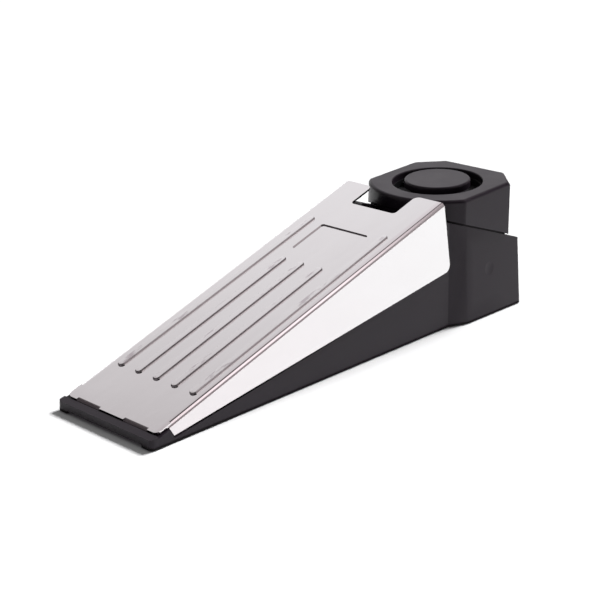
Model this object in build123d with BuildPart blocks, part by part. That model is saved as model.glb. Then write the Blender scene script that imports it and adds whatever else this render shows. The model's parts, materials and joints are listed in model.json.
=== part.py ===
"""Wedge door stop alarm: a black moulded case with a hinged steel pressure plate.

X runs from the toe to the heel, Y across and Z up, in millimetres. The origin is the
middle of the footprint, on the floor. Places along the case are given from the toe,
and places on the plate and in its slope are given along the slope from its front edge.
"""
import os
from math import cos, pi, radians, sin, sqrt, tan

from build123d import *

os.makedirs("parts", exist_ok=True)

# Case
length = 150.0
toe_flare = 1.4
skirt = 1.3
flare_offset = 5.4
flare_length = 6.3
heel_corner = 1.5
toe_height = 2.9
lip_height = 3.4
toe_corner = 1.2
deck_angle = 17.45
rim_offset = 3.5
rim_height = 30.6
rim_angle = 18.45
wedge_draft = 1.9
side_draft = 3.6
heel_draft = 2.7
wall = 2.0
side_wall = 1.8
floor_gap = 0.3
belly_height = 1.0
toe_foot_width = 3.7
fit_gap = 0.15
rest_gap = 0.3
overrun = 2.0
valley_drop = 3.2
valley_width = 16.0
hollow_front = 13.0
bay_clear = 1.1

# Pressure plate
sheet = 0.6
wedge_angle = 18.45
plate_setback = 2.6
plate_front_height = 3.8
plate_overhang = 4.115
plate_front_inset = 0.6
plate_rear_clear = 1.85
plate_seat_gap = 0.25
press_angle = 0.8
fold_radius = 1.2
front_corner = 1.6
notch_clear = 0.2
notch_depth = 10.04
notch_corner = 1.2
ear_corner = 1.8
fold_relief = 0.3
bead_count = 5
long_bead_rows = (0, 4)
bead_margin = 2.7
bead_width = 2.2
bead_height = 0.45
bead_round_share = 0.8
bead_start = 15.0
long_bead_margin = 20.44
short_bead_margin = 40.44
panel_length = 13.4
panel_width = 17.2
panel_margin = 22.24
panel_depth = 0.35
panel_corner = 0.8
flange_front = 6.2
flange_toe = 7.8
flange_toe_height = 1.8
flange_rise = 9.1
flange_tail = 4.1
flange_corner = 2.0
tab_width = 8.8
tab_spread = 18.0
tab_foot = 2.4
tab_height = 1.35
slot_gap = 0.28

# Siren tower
opening_heel_gap = 6.3
opening_margin = 4.7
opening_edge = 0.4
tower_height = 39.0
tower_top_angle = 3.5
tower_ledge = 0.95
tower_nose = 5.7
tower_bow = 9.2
tower_front_corner = 1.8
tower_rear_gap = 0.9
tower_corner = 7.2
tower_draft = 0.9
tower_wall = 1.8
tower_roof = 2.0
tower_edge = 1.1
groove_height = 0.45
groove_depth = 0.7
collar_step = 0.9
collar_wall = 1.1
collar_depth = 13.0
post_offset = 5.1
post_inset = 6.3
post_radius = 2.5

# Sounder
horn_gap = 3.65
cap_thickness = 2.2
cap_rise = 0.8
cap_edge = 0.6
stem_radius = 2.2
stem_length = 3.2
spider_thickness = 2.8
spider_web = 0.8
spider_ring = 1.2
spider_hub = 3.6
spider_rib = 1.2
spider_ribs = 4
spider_holes = 8
spider_hole = 0.8
spider_hole_inset = 2.45
gasket_thickness = 1.2
siren_case_radius = 14.1
siren_case_height = 6.6
siren_case_wall = 1.0
siren_ledge = 1.0
piezo_depth = 1.2
piezo_thickness = 0.3
ceramic_share = 0.664
ceramic_thickness = 0.3

# Base and battery door
base_thickness = 2.0
base_front = 6.4
base_lap = 1.1
base_heel_wall = 2.2
door_front_margin = 2.0
door_rear_margin = 1.6
door_side_margin = 0.6
door_thickness = 1.6
door_gap = 0.25
door_lug_width = 6.0
door_lug_spread = 16.0
door_lug_reach = 1.4
door_lug_neck = 0.5
door_lug_thickness = 0.6
latch_ledge = 0.8
latch_ledge_thickness = 0.4
finger_length = 9.0
finger_width = 4.0
finger_depth = 0.7
sole_margin = 1.8
front_sole_start = 2.4
front_sole_gap = 5.6
rear_sole_length = 19.0
rear_sole_gap = 4.0
sole_corner = 2.0

# Fasteners
screw_radius = 1.1
screw_length = 8.0
screw_head_radius = 2.1
screw_head_height = 1.1
screw_slot = 0.5
screw_slot_share = 1.4
front_screw_place = 36.0
front_screw_spread = 18.0
boss_radius = 2.5

# Battery
battery_length = 46.4
battery_width = 26.2
battery_height = 17.5
battery_gap = 0.4
battery_corner = 1.6
terminal_height = 2.1
terminal_spread = 12.7
stud_radius = 2.6
cup_radius = 3.6
clip_thickness = 2.6
clip_margin = 3.45
clip_height = 11.0
contact_wall = 0.4
foam_thickness = 2.8
foam_height = 9.0
bay_rib = 1.6

# Circuit board
board_reach = 9.0
board_thickness = 1.6
board_inset = 3.6
board_bottom = 3.4
board_height = 15.4
board_corner = 0.8
rail_width = 1.4
rail_reach = 1.2

# Board parts
chip_width_share = 0.3226
chip_height = 4.0
chip_thickness = 1.6
chip_y_share = 0.1484
chip_z = 7.0
chip_legs = 7
chip_leg = 0.5
coil_radius_share = 0.1355
coil_length = 7.0
coil_flange = 0.8
coil_core = 2.6
coil_y_share = -0.29
coil_z = 9.5
capacitor_radius_share = 0.0806
capacitor_length = 6.0
capacitor_y_shares = (0.0968, 0.3065)
capacitor_z = 14.4
capacitor_round = 0.5
resistor_radius_share = 0.0258
resistor_length = 5.0
resistor_y_shares = (-0.1097, -0.0419)
resistor_z = 7.6
transistor_radius_share = 0.071
transistor_length = 4.4
transistor_y_share = 0.3839
transistor_z = 7.6

# Power switch
switch_body_width = 9.0
switch_body_height = 4.4
switch_body_depth = 3.4
switch_z = 9.4
stub_share = 0.36
knob_travel = 4.0
knob_width = 5.0
knob_height = 3.2
knob_flange = 0.8
knob_flange_margin = 1.4
knob_recess = 0.3
knob_ribs = 3

# Plunger, return spring and microswitch
plunger_margin = 14.54
plunger_radius = 1.6
plunger_bore = 1.68
plunger_head_radius = 2.8
plunger_head = 1.0
plunger_length = 4.4
well_clear = 0.5
guide_radius = 3.6
guide_depth = 2.6
spring_place = 57.0
spring_radius = 2.6
spring_wire = 0.3
spring_turns = 4
spring_length = 6.0
quarter_turns = 4
microswitch_length = 9.6
microswitch_depth = 5.0
microswitch_height = 4.8
microswitch_gap = 0.97
microswitch_drop = 7.1
microswitch_hole = 0.9
microswitch_pitch = 5.4
bracket_thickness = 1.8
lever_thickness = 0.3
lever_width = 3.2
lever_pivot_height = 0.5
lever_ear = 1.0
lever_ear_thickness = 0.6
button_place_share = 0.62
button_width = 1.4
button_rise = 0.95
button_sink = 1.2

# Leads
lead_radius = 0.55
lead_bend = 1.5
lead_pitch = 2.2
lead_run = 6.0
lead_drop = 0.8
lead_gap = 0.45

# Widths, from the battery outwards
hollow_width = battery_width + 2 * bay_clear
base_width = hollow_width + 2 * base_lap
waist_width = base_width + 2 * skirt
toe_width = waist_width + 2 * toe_flare
plate_front_width = toe_width - 2 * plate_front_inset
plate_rear_width = waist_width + 2 * plate_rear_clear
deck_width = plate_front_width - 2 * sheet - 2 * rest_gap
door_width = battery_width + 2 * door_side_margin
sole_width = base_width - 2 * sole_margin
notch_width = valley_width + 2 * notch_clear
bead_pitch = (plate_front_width - 2 * bead_margin - bead_width) / (bead_count - 1)

# Widths of the tower, the block and the board, from the sounder outwards
collar_radius = siren_case_radius + rest_gap
opening_radius = collar_radius - collar_step
cap_radius = opening_radius - horn_gap
piezo_radius = siren_case_radius - siren_case_wall - rest_gap
ceramic_radius = piezo_radius * ceramic_share
spider_hole_circle = cap_radius - spider_hole_inset
tower_width = 2 * (opening_radius + opening_margin)
block_width = tower_width + 2 * tower_ledge
post_spread = block_width - 2 * post_inset
board_width = block_width - 2 * board_inset

# Places from the heel forwards: tower, block, battery and its door
tower_rear = length - tower_rear_gap
tower_side_end = tower_rear - tower_corner
opening_place = length - opening_heel_gap - opening_radius
tower_front = opening_place - opening_radius - tower_nose
tower_side_start = tower_front + tower_bow
flare_start = tower_front + flare_offset
flare_end = flare_start + flare_length
rim_place = flare_start + rim_offset
post_place = flare_start + post_offset
board_place = length - board_reach
rear_sole_end = length - rear_sole_gap
battery_place = flare_start - battery_gap - battery_length
door_front = battery_place - door_front_margin
door_length = battery_length + door_front_margin + door_rear_margin
front_sole_end = door_front - front_sole_gap


def along(place):
    """X of a place given from the toe."""
    return place - length / 2


def plate_z(place):
    """Height of the plate's top face."""
    return plate_front_height + (place - plate_setback) * tan(radians(wedge_angle))


def deck_z(place):
    """Height of the case under the plate."""
    seat = plate_front_height - sheet / cos(radians(wedge_angle)) - plate_seat_gap
    return seat + (place - plate_setback) * tan(radians(deck_angle))


def rim_z(place):
    """Height of the sloping rim that carries the tower."""
    return rim_height - (place - rim_place) * tan(radians(rim_angle))


def flange_z(place):
    """Height of the flanges' lower edge."""
    return flange_toe_height + (place - flange_toe) * tan(radians(flange_rise))


def shoulder_z(place):
    """Height of the side ledge, clear of the flange when the plate is pressed."""
    drop = (place - plate_setback) * tan(radians(press_angle))
    return flange_z(place) - drop - rest_gap


def tower_z(place):
    """Height of the tower's top face."""
    return tower_height + (place - opening_place) * tan(radians(tower_top_angle))


def crossing(line_a, line_b, low, high):
    """Place where two straight height lines cross, from their values at two places."""
    gap_low = line_a(low) - line_b(low)
    gap_high = line_a(high) - line_b(high)
    return low + (high - low) * gap_low / (gap_low - gap_high)


def side_profile(points):
    """Face in the active sketch from (place, height) points of a side view."""
    Polygon(*[(along(x), z) for x, z in points])


def case_outline():
    """Plan of the wedge in the active sketch, running on into the block."""
    Polygon(
        (along(0), -toe_width / 2),
        (along(flare_start), -waist_width / 2),
        (along(flare_end), -waist_width / 2),
        (along(flare_end), waist_width / 2),
        (along(flare_start), waist_width / 2),
        (along(0), toe_width / 2),
    )


def base_outline(gap):
    """Plan of the base cover in the active sketch, grown by a gap."""
    half = base_width / 2 + gap
    heel_half = block_width / 2 - base_heel_wall + gap
    Polygon(
        (along(base_front - gap), -half),
        (along(flare_start), -half),
        (along(flare_end), -heel_half),
        (along(length - base_heel_wall + gap), -heel_half),
        (along(length - base_heel_wall + gap), heel_half),
        (along(flare_end), heel_half),
        (along(flare_start), half),
        (along(base_front - gap), half),
    )


def block_outline(inset, height):
    """Plan of the heel block at a height, drawn in by an inset."""
    waist_lean = inset + height * tan(radians(wedge_draft))
    lean = inset + height * tan(radians(side_draft))
    rear = along(length) - inset - height * tan(radians(heel_draft))
    with BuildSketch(Plane.XY.offset(height)) as outline:
        Polygon(
            (along(flare_start), waist_lean - waist_width / 2),
            (along(flare_end), lean - block_width / 2),
            (rear, lean - block_width / 2),
            (rear, block_width / 2 - lean),
            (along(flare_end), block_width / 2 - lean),
            (along(flare_start), waist_width / 2 - waist_lean),
        )
        fillet(outline.vertices().group_by(Axis.X)[-1], radius=heel_corner)
    return outline.sketch


def tower_outline(inset):
    """Plan of the tower's top: a front arc, two sides and cut rear corners."""
    half = tower_width / 2
    with BuildSketch() as outline:
        with BuildLine():
            ThreePointArc(
                (along(tower_side_start), half),
                (along(tower_front), 0),
                (along(tower_side_start), -half),
            )
            Polyline(
                (along(tower_side_start), -half),
                (along(tower_side_end), -half),
                (along(tower_rear), -half + tower_corner),
                (along(tower_rear), half - tower_corner),
                (along(tower_side_end), half),
                (along(tower_side_start), half),
            )
        make_face()
        tips = outline.vertices().group_by(Axis.X)
        fillet(tips[0], radius=tower_front_corner)
        fillet(outline.vertices().group_by(Axis.X)[-1], radius=heel_corner)
        if inset:
            offset(amount=-inset, kind=Kind.INTERSECTION, mode=Mode.REPLACE)
    return outline.sketch


slope = radians(wedge_angle)
plate_plane = Plane(
    origin=(along(plate_setback), 0, plate_front_height),
    x_dir=(cos(slope), 0, sin(slope)),
    z_dir=(-sin(slope), 0, cos(slope)),
)
tower_top = tower_z(tower_rear)
summit = tower_top + overrun
base_top = belly_height + base_thickness
ridge = crossing(deck_z, rim_z, flare_start / 2, flare_start)
plate_rear = ridge + plate_overhang
plate_length = (plate_rear - plate_setback) / cos(slope)
plunger_place = plate_length - plunger_margin
flange_heel = plate_rear + flange_tail
lip_end = plate_setback - slot_gap


def valley_z(place):
    """Height of the dip in front of the tower."""
    return rim_z(place) - valley_drop


valley_start = crossing(deck_z, valley_z, flare_start / 2, flare_start)
screw_places = [
    (front_screw_place, front_screw_spread / 2),
    (front_screw_place, -front_screw_spread / 2),
    (post_place, post_spread / 2),
    (post_place, -post_spread / 2),
]
head_top = -sheet - rest_gap
head_bottom = head_top - plunger_head
press_travel = plunger_place * tan(radians(press_angle))
well_floor = head_bottom - press_travel - rest_gap
guide_end = well_floor - guide_depth
plunger_end = head_bottom - plunger_length
spring_seat = -sheet - rest_gap / 2 - spring_length
tip = plate_plane.from_local_coords((plunger_place, 0, plunger_end))
tip_place = tip.X + length / 2
microswitch_place = tip_place + microswitch_gap
microswitch_bottom = tip.Z - microswitch_drop

# Hollow of the heel block, closed by the sloping rim
with BuildPart() as block_core:
    add(block_outline(side_wall, base_top))
    add(block_outline(side_wall, summit))
    loft(ruled=True)
    with BuildSketch(Plane.XZ):
        side_profile(
            [
                (0, rim_z(0) - wall),
                (length, rim_z(length) - wall),
                (length, summit + rim_z(0)),
                (0, summit + rim_z(0)),
            ]
        )
    extrude(amount=length, both=True, mode=Mode.SUBTRACT)

# Body shell: wedge and heel block, hollow underneath
with BuildPart() as body_shell:
    with BuildSketch(Plane.XY.offset(floor_gap)) as wedge_plan:
        case_outline()
        fillet(wedge_plan.vertices().group_by(Axis.X)[0], radius=toe_corner)
    extrude(amount=summit, taper=wedge_draft)
    for side in (1, -1):
        with BuildSketch(Plane.XZ.offset(side * deck_width / 2)):
            side_profile(
                [
                    (flange_front, summit),
                    (flange_front, deck_z(flange_front)),
                    (flange_toe - rest_gap, shoulder_z(flange_toe)),
                    (flare_start, shoulder_z(flare_start)),
                    (flare_start, summit),
                ]
            )
        extrude(amount=side * toe_width, mode=Mode.SUBTRACT)
    add(block_outline(0, floor_gap))
    add(block_outline(0, summit))
    loft(ruled=True)
    with BuildSketch(Plane.XZ):
        side_profile(
            [
                (-overrun, summit + overrun),
                (-overrun, toe_height),
                (0, toe_height),
                (lip_end, lip_height),
                (lip_end, deck_z(lip_end)),
                (ridge, deck_z(ridge)),
                (length + overrun, rim_z(length + overrun)),
                (length + overrun, summit + overrun),
            ]
        )
    extrude(amount=length, both=True, mode=Mode.SUBTRACT)
    with BuildSketch(Plane.XZ):
        side_profile(
            [
                (valley_start, valley_z(valley_start)),
                (tower_side_start, valley_z(tower_side_start)),
                (tower_side_start, summit),
                (valley_start, summit),
            ]
        )
    extrude(amount=valley_width / 2, both=True, mode=Mode.SUBTRACT)
    # Hollow under the deck and in the block
    with BuildSketch(Plane.XZ):
        side_profile(
            [
                (hollow_front, base_top),
                (hollow_front, deck_z(hollow_front) - wall),
                (valley_start, deck_z(valley_start) - wall),
                (flare_end, valley_z(flare_end) - wall),
                (flare_end, base_top),
            ]
        )
    extrude(amount=hollow_width / 2, both=True, mode=Mode.SUBTRACT)
    add(block_core.part, mode=Mode.SUBTRACT)
    with BuildSketch(Plane.XY.offset(rim_z(length) - wall - overrun)):
        add(tower_outline(tower_wall))
    extrude(amount=summit, mode=Mode.SUBTRACT)
    # Seat of the base cover
    with BuildSketch(Plane.XY):
        base_outline(fit_gap)
    extrude(amount=base_top, mode=Mode.SUBTRACT)
    # Arch under the toe between its two feet
    with BuildSketch(Plane.XY):
        with Locations((along(base_front / 2), 0)):
            Rectangle(base_front + overrun, toe_width - 2 * toe_foot_width)
    extrude(amount=belly_height, mode=Mode.SUBTRACT)
    # Slots that hold the plate's tabs, wider below for their feet
    for side in (1, -1):
        slot_middle = plate_setback + sheet / 2
        with BuildSketch(Plane.XY):
            with Locations((along(slot_middle), side * tab_spread / 2)):
                Rectangle(sheet + 2 * slot_gap, tab_width + 2 * slot_gap)
        extrude(amount=lip_height + overrun, mode=Mode.SUBTRACT)
        foot_space = tab_foot + 2 * slot_gap
        with BuildSketch(Plane.XY):
            with Locations((along(lip_end + foot_space / 2), side * tab_spread / 2)):
                Rectangle(foot_space, tab_width + 2 * slot_gap)
        extrude(amount=tab_height + sheet + slot_gap, mode=Mode.SUBTRACT)
    # Bosses for the front screws
    for x, y in screw_places[:2]:
        with BuildSketch(Plane.XY.offset(base_top)):
            with Locations((along(x), y)):
                Circle(boss_radius)
                Circle(screw_radius + fit_gap / 2, mode=Mode.SUBTRACT)
        extrude(amount=deck_z(x) - base_top - wall / 2)
    # Rib in front of the battery
    with BuildSketch(Plane.XZ):
        rib_front = battery_place - foam_thickness - bay_rib - rest_gap
        side_profile(
            [
                (rib_front, base_top + door_lug_thickness + rest_gap),
                (rib_front, deck_z(rib_front) - wall / 2),
                (rib_front + bay_rib, deck_z(rib_front + bay_rib) - wall / 2),
                (rib_front + bay_rib, base_top + door_lug_thickness + rest_gap),
            ]
        )
    extrude(amount=hollow_width / 2, both=True)
    # Rails that hold the circuit board, inside the leaning side walls
    rail_inner = board_width / 2 - rail_reach
    rail_outer = (block_width - side_wall) / 2 - (base_top + board_height) * tan(radians(side_draft))
    for side in (1, -1):
        rail_y = side * (rail_inner + rail_outer) / 2
        rail_length = rail_outer - rail_inner
        for step in (-1, 1):
            rail_x = board_place + board_thickness / 2
            rail_x += step * (board_thickness / 2 + fit_gap + rail_width / 2)
            with BuildSketch(Plane.XY.offset(base_top + rest_gap)):
                with Locations((along(rail_x), rail_y)):
                    Rectangle(rail_width, rail_length)
            extrude(amount=board_height)
    # Guide of the plunger and well of the return spring, square to the plate
    with BuildSketch(plate_plane.offset(guide_end)):
        with Locations((plunger_place, 0)):
            Circle(guide_radius)
    extrude(amount=well_floor - guide_end + wall / 2)
    with BuildSketch(plate_plane.offset(guide_end - overrun)):
        with Locations((plunger_place, 0)):
            Circle(plunger_bore)
    extrude(amount=overrun - guide_end, mode=Mode.SUBTRACT)
    with BuildSketch(plate_plane.offset(well_floor)):
        with Locations((plunger_place, 0)):
            Circle(plunger_head_radius + well_clear)
    extrude(amount=-well_floor, mode=Mode.SUBTRACT)
    with BuildSketch(plate_plane.offset(spring_seat - wall)):
        with Locations((spring_place, 0)):
            Circle(spring_radius + spring_wire + well_clear + side_wall / 2)
    extrude(amount=wall - spring_seat + head_top - wall)
    with BuildSketch(plate_plane.offset(spring_seat)):
        with Locations((spring_place, 0)):
            Circle(spring_radius + spring_wire + well_clear)
    extrude(amount=-spring_seat, mode=Mode.SUBTRACT)
    # Rib and pegs that hold the microswitch
    with BuildSketch(Plane.XZ.offset(-microswitch_depth / 2 - fit_gap)):
        rib_end = microswitch_place + microswitch_length
        side_profile(
            [
                (microswitch_place, microswitch_bottom),
                (rib_end, microswitch_bottom),
                (rib_end, valley_z(rib_end) - wall / 2),
                (valley_start, valley_z(valley_start) - wall / 2),
                (microswitch_place, deck_z(microswitch_place) - wall / 2),
            ]
        )
    extrude(amount=-bracket_thickness)
    for step in (-1, 1):
        peg_place = microswitch_place + microswitch_length / 2 + step * microswitch_pitch / 2
        with BuildSketch(Plane.XZ.offset(-microswitch_depth / 2 - fit_gap)):
            with Locations((along(peg_place), microswitch_bottom + microswitch_height / 3)):
                Circle(microswitch_hole - fit_gap / 2)
        extrude(amount=microswitch_depth / 2)
    # Window of the power knob
    with BuildSketch(Plane.YZ.offset(along(board_place + board_thickness + side_wall))):
        with Locations((0, switch_z)):
            Rectangle(knob_width + knob_travel + 2 * fit_gap, knob_height + 2 * fit_gap)
    extrude(amount=length - board_place, mode=Mode.SUBTRACT)
body_shell.part.label = "body_shell"
export_step(body_shell.part, "parts/body_shell.step")

tilt = radians(tower_top_angle)
siren_plane = Plane(
    origin=(along(opening_place), 0, tower_height),
    x_dir=(cos(tilt), 0, sin(tilt)),
    z_dir=(-sin(tilt), 0, cos(tilt)),
)
tower_foot = rim_z(length)
tower_spread = (tower_top - tower_foot) * tan(radians(tower_draft))

# Hollow of the tower under its roof
with BuildPart() as tower_core:
    with BuildSketch(Plane.XY.offset(tower_foot - overrun)):
        add(tower_outline(tower_wall))
    extrude(amount=tower_top)
    with BuildSketch(Plane.XZ):
        side_profile(
            [
                (0, tower_z(0) - tower_roof),
                (length, tower_z(length) - tower_roof),
                (length, summit + tower_top),
                (0, summit + tower_top),
            ]
        )
    extrude(amount=length, both=True, mode=Mode.SUBTRACT)

# Shadow groove between the tower and the rim, on both sides of the dip
with BuildPart() as foot_groove:
    for side in (1, -1):
        with BuildSketch(Plane.XZ.offset(side * valley_width / 2)):
            side_profile(
                [
                    (0, rim_z(0)),
                    (length + overrun, rim_z(length + overrun)),
                    (length + overrun, rim_z(length + overrun) + groove_height),
                    (0, rim_z(0) + groove_height),
                ]
            )
        extrude(amount=side * length)
    with BuildSketch(Plane.XY.offset(tower_foot)):
        add(tower_outline(groove_depth))
    extrude(amount=summit, mode=Mode.SUBTRACT)

# Siren housing: tower on the sloping rim, with collar and screw posts
with BuildPart() as siren_housing:
    with BuildSketch(Plane.XY.offset(tower_foot)):
        add(tower_outline(-tower_spread))
    extrude(amount=summit - tower_foot, taper=tower_draft)
    with BuildSketch(Plane.XZ):
        side_profile(
            [
                (0, tower_z(0)),
                (length, tower_z(length)),
                (length, summit + overrun),
                (0, summit + overrun),
            ]
        )
    extrude(amount=length, both=True, mode=Mode.SUBTRACT)
    roof_edges = siren_housing.faces().sort_by(Axis.Z)[-1].edges()
    fillet(roof_edges, radius=tower_edge)
    # Foot on the rim, reaching down into the dip at the front
    with BuildSketch(Plane.XZ):
        side_profile(
            [
                (opening_place, rim_z(opening_place)),
                (length + overrun, rim_z(length + overrun)),
                (length + overrun, 0),
                (0, 0),
                (0, valley_z(0)),
                (opening_place, valley_z(opening_place)),
            ]
        )
    extrude(amount=length, both=True, mode=Mode.SUBTRACT)
    for side in (1, -1):
        with BuildSketch(Plane.XZ.offset(side * (valley_width / 2 - fit_gap))):
            side_profile(
                [
                    (0, rim_z(0)),
                    (opening_place + overrun, rim_z(opening_place + overrun)),
                    (opening_place + overrun, 0),
                    (0, 0),
                ]
            )
        extrude(amount=side * length, mode=Mode.SUBTRACT)
    add(foot_groove.part, mode=Mode.SUBTRACT)
    add(tower_core.part, mode=Mode.SUBTRACT)
    for x, y in screw_places[2:]:
        with BuildSketch(Plane.XY.offset(base_top)):
            with Locations((along(x), y)):
                Circle(post_radius)
        extrude(amount=tower_z(x) - tower_roof / 2 - base_top)
    with BuildSketch(siren_plane.offset(-collar_depth)):
        Circle(collar_radius + collar_wall)
    extrude(amount=collar_depth - tower_roof / 2)
    with BuildSketch(siren_plane.offset(-collar_depth)):
        Circle(collar_radius)
    extrude(amount=collar_depth - tower_roof, mode=Mode.SUBTRACT)
    with BuildSketch(siren_plane.offset(-tower_roof - overrun)):
        Circle(opening_radius)
    extrude(amount=tower_roof + 2 * overrun, mode=Mode.SUBTRACT)
    rim = siren_housing.edges().filter_by(GeomType.CIRCLE).sort_by(Axis.Z)
    mouth = [e for e in rim if abs(e.radius - opening_radius) < fit_gap]
    fillet(mouth[-1:], radius=opening_edge)
    for x, y in screw_places[2:]:
        with BuildSketch(Plane.XY.offset(base_top)):
            with Locations((along(x), y)):
                Circle(screw_radius + fit_gap / 2)
        extrude(amount=screw_length, mode=Mode.SUBTRACT)
siren_housing.part.label = "siren_housing"
export_step(siren_housing.part, "parts/siren_housing.step")

# Cap in the middle of the opening
with BuildPart() as siren_cap:
    with BuildSketch(siren_plane.offset(cap_rise - cap_thickness)):
        Circle(cap_radius)
    extrude(amount=cap_thickness)
    fillet(siren_cap.faces().sort_by(Axis.Z)[-1].edges(), radius=cap_edge)
    with BuildSketch(siren_plane.offset(cap_rise - cap_thickness - stem_length)):
        Circle(stem_radius)
    extrude(amount=stem_length)
siren_cap.part.label = "siren_cap"
export_step(siren_cap.part, "parts/siren_cap.step")

# Spider that carries the cap over a perforated web
spider_radius = collar_radius - fit_gap / 2
spider_floor = -tower_roof - spider_thickness
cap_foot = cap_rise - cap_thickness
with BuildPart() as horn_spider:
    with BuildSketch(siren_plane.offset(spider_floor)):
        Circle(spider_radius)
    extrude(amount=spider_web)
    with BuildSketch(siren_plane.offset(spider_floor)):
        Circle(spider_radius)
        Circle(spider_radius - spider_ring, mode=Mode.SUBTRACT)
    extrude(amount=spider_thickness)
    with BuildSketch(siren_plane.offset(spider_floor)):
        Circle(spider_hub)
    extrude(amount=cap_foot - spider_floor)
    with BuildSketch(siren_plane.offset(spider_floor)):
        with PolarLocations((spider_hub + spider_radius - spider_ring / 2) / 2, spider_ribs):
            Rectangle(spider_radius - spider_ring / 2 - spider_hub + spider_rib, spider_rib)
    extrude(amount=spider_thickness - spider_web)
    with BuildSketch(siren_plane.offset(spider_floor)):
        with PolarLocations(spider_hole_circle, spider_holes, start_angle=180 / spider_holes):
            Circle(spider_hole)
        Circle(stem_radius + fit_gap / 2)
    extrude(amount=spider_thickness + overrun, mode=Mode.SUBTRACT)
horn_spider.part.label = "horn_spider"
export_step(horn_spider.part, "parts/horn_spider.step")

# Foam ring under the spider
with BuildPart() as siren_gasket:
    with BuildSketch(siren_plane.offset(spider_floor - gasket_thickness)):
        Circle(siren_case_radius)
        Circle(siren_case_radius - siren_case_wall - siren_ledge, mode=Mode.SUBTRACT)
    extrude(amount=gasket_thickness)
siren_gasket.part.label = "siren_gasket"
export_step(siren_gasket.part, "parts/siren_gasket.step")

# Sounder: cup with a ledge for the piezo disc
cup_top = spider_floor - gasket_thickness
cup_bottom = cup_top - siren_case_height
with BuildPart() as siren_case:
    with BuildSketch(siren_plane.offset(cup_bottom)):
        Circle(siren_case_radius)
    extrude(amount=siren_case_height)
    with BuildSketch(siren_plane.offset(cup_bottom + siren_case_wall)):
        Circle(siren_case_radius - siren_case_wall - siren_ledge)
    extrude(amount=siren_case_height, mode=Mode.SUBTRACT)
    with BuildSketch(siren_plane.offset(cup_top - piezo_depth)):
        Circle(siren_case_radius - siren_case_wall)
    extrude(amount=siren_case_height, mode=Mode.SUBTRACT)
siren_case.part.label = "siren_case"
export_step(siren_case.part, "parts/siren_case.step")

with BuildPart() as piezo_plate:
    with BuildSketch(siren_plane.offset(cup_top - piezo_depth)):
        Circle(piezo_radius)
    extrude(amount=piezo_thickness)
piezo_plate.part.label = "piezo_plate"
export_step(piezo_plate.part, "parts/piezo_plate.step")

with BuildPart() as piezo_ceramic:
    with BuildSketch(siren_plane.offset(cup_top - piezo_depth - ceramic_thickness)):
        Circle(ceramic_radius)
    extrude(amount=ceramic_thickness)
piezo_ceramic.part.label = "piezo_ceramic"
export_step(piezo_ceramic.part, "parts/piezo_ceramic.step")


# Pressure plate: bent sheet with flanges, beads, a sunk panel, a notch and two tabs
widen = (plate_rear_width - plate_front_width) / plate_length
notch_start = plate_length - notch_depth
flange_start = plate_plane.to_local_coords(Vector(along(flange_front), 0, plate_z(flange_front) - sheet)).X


def plate_half(place):
    """Half width of the plate at a distance along its slope."""
    return plate_front_width / 2 + place * widen / 2


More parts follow.
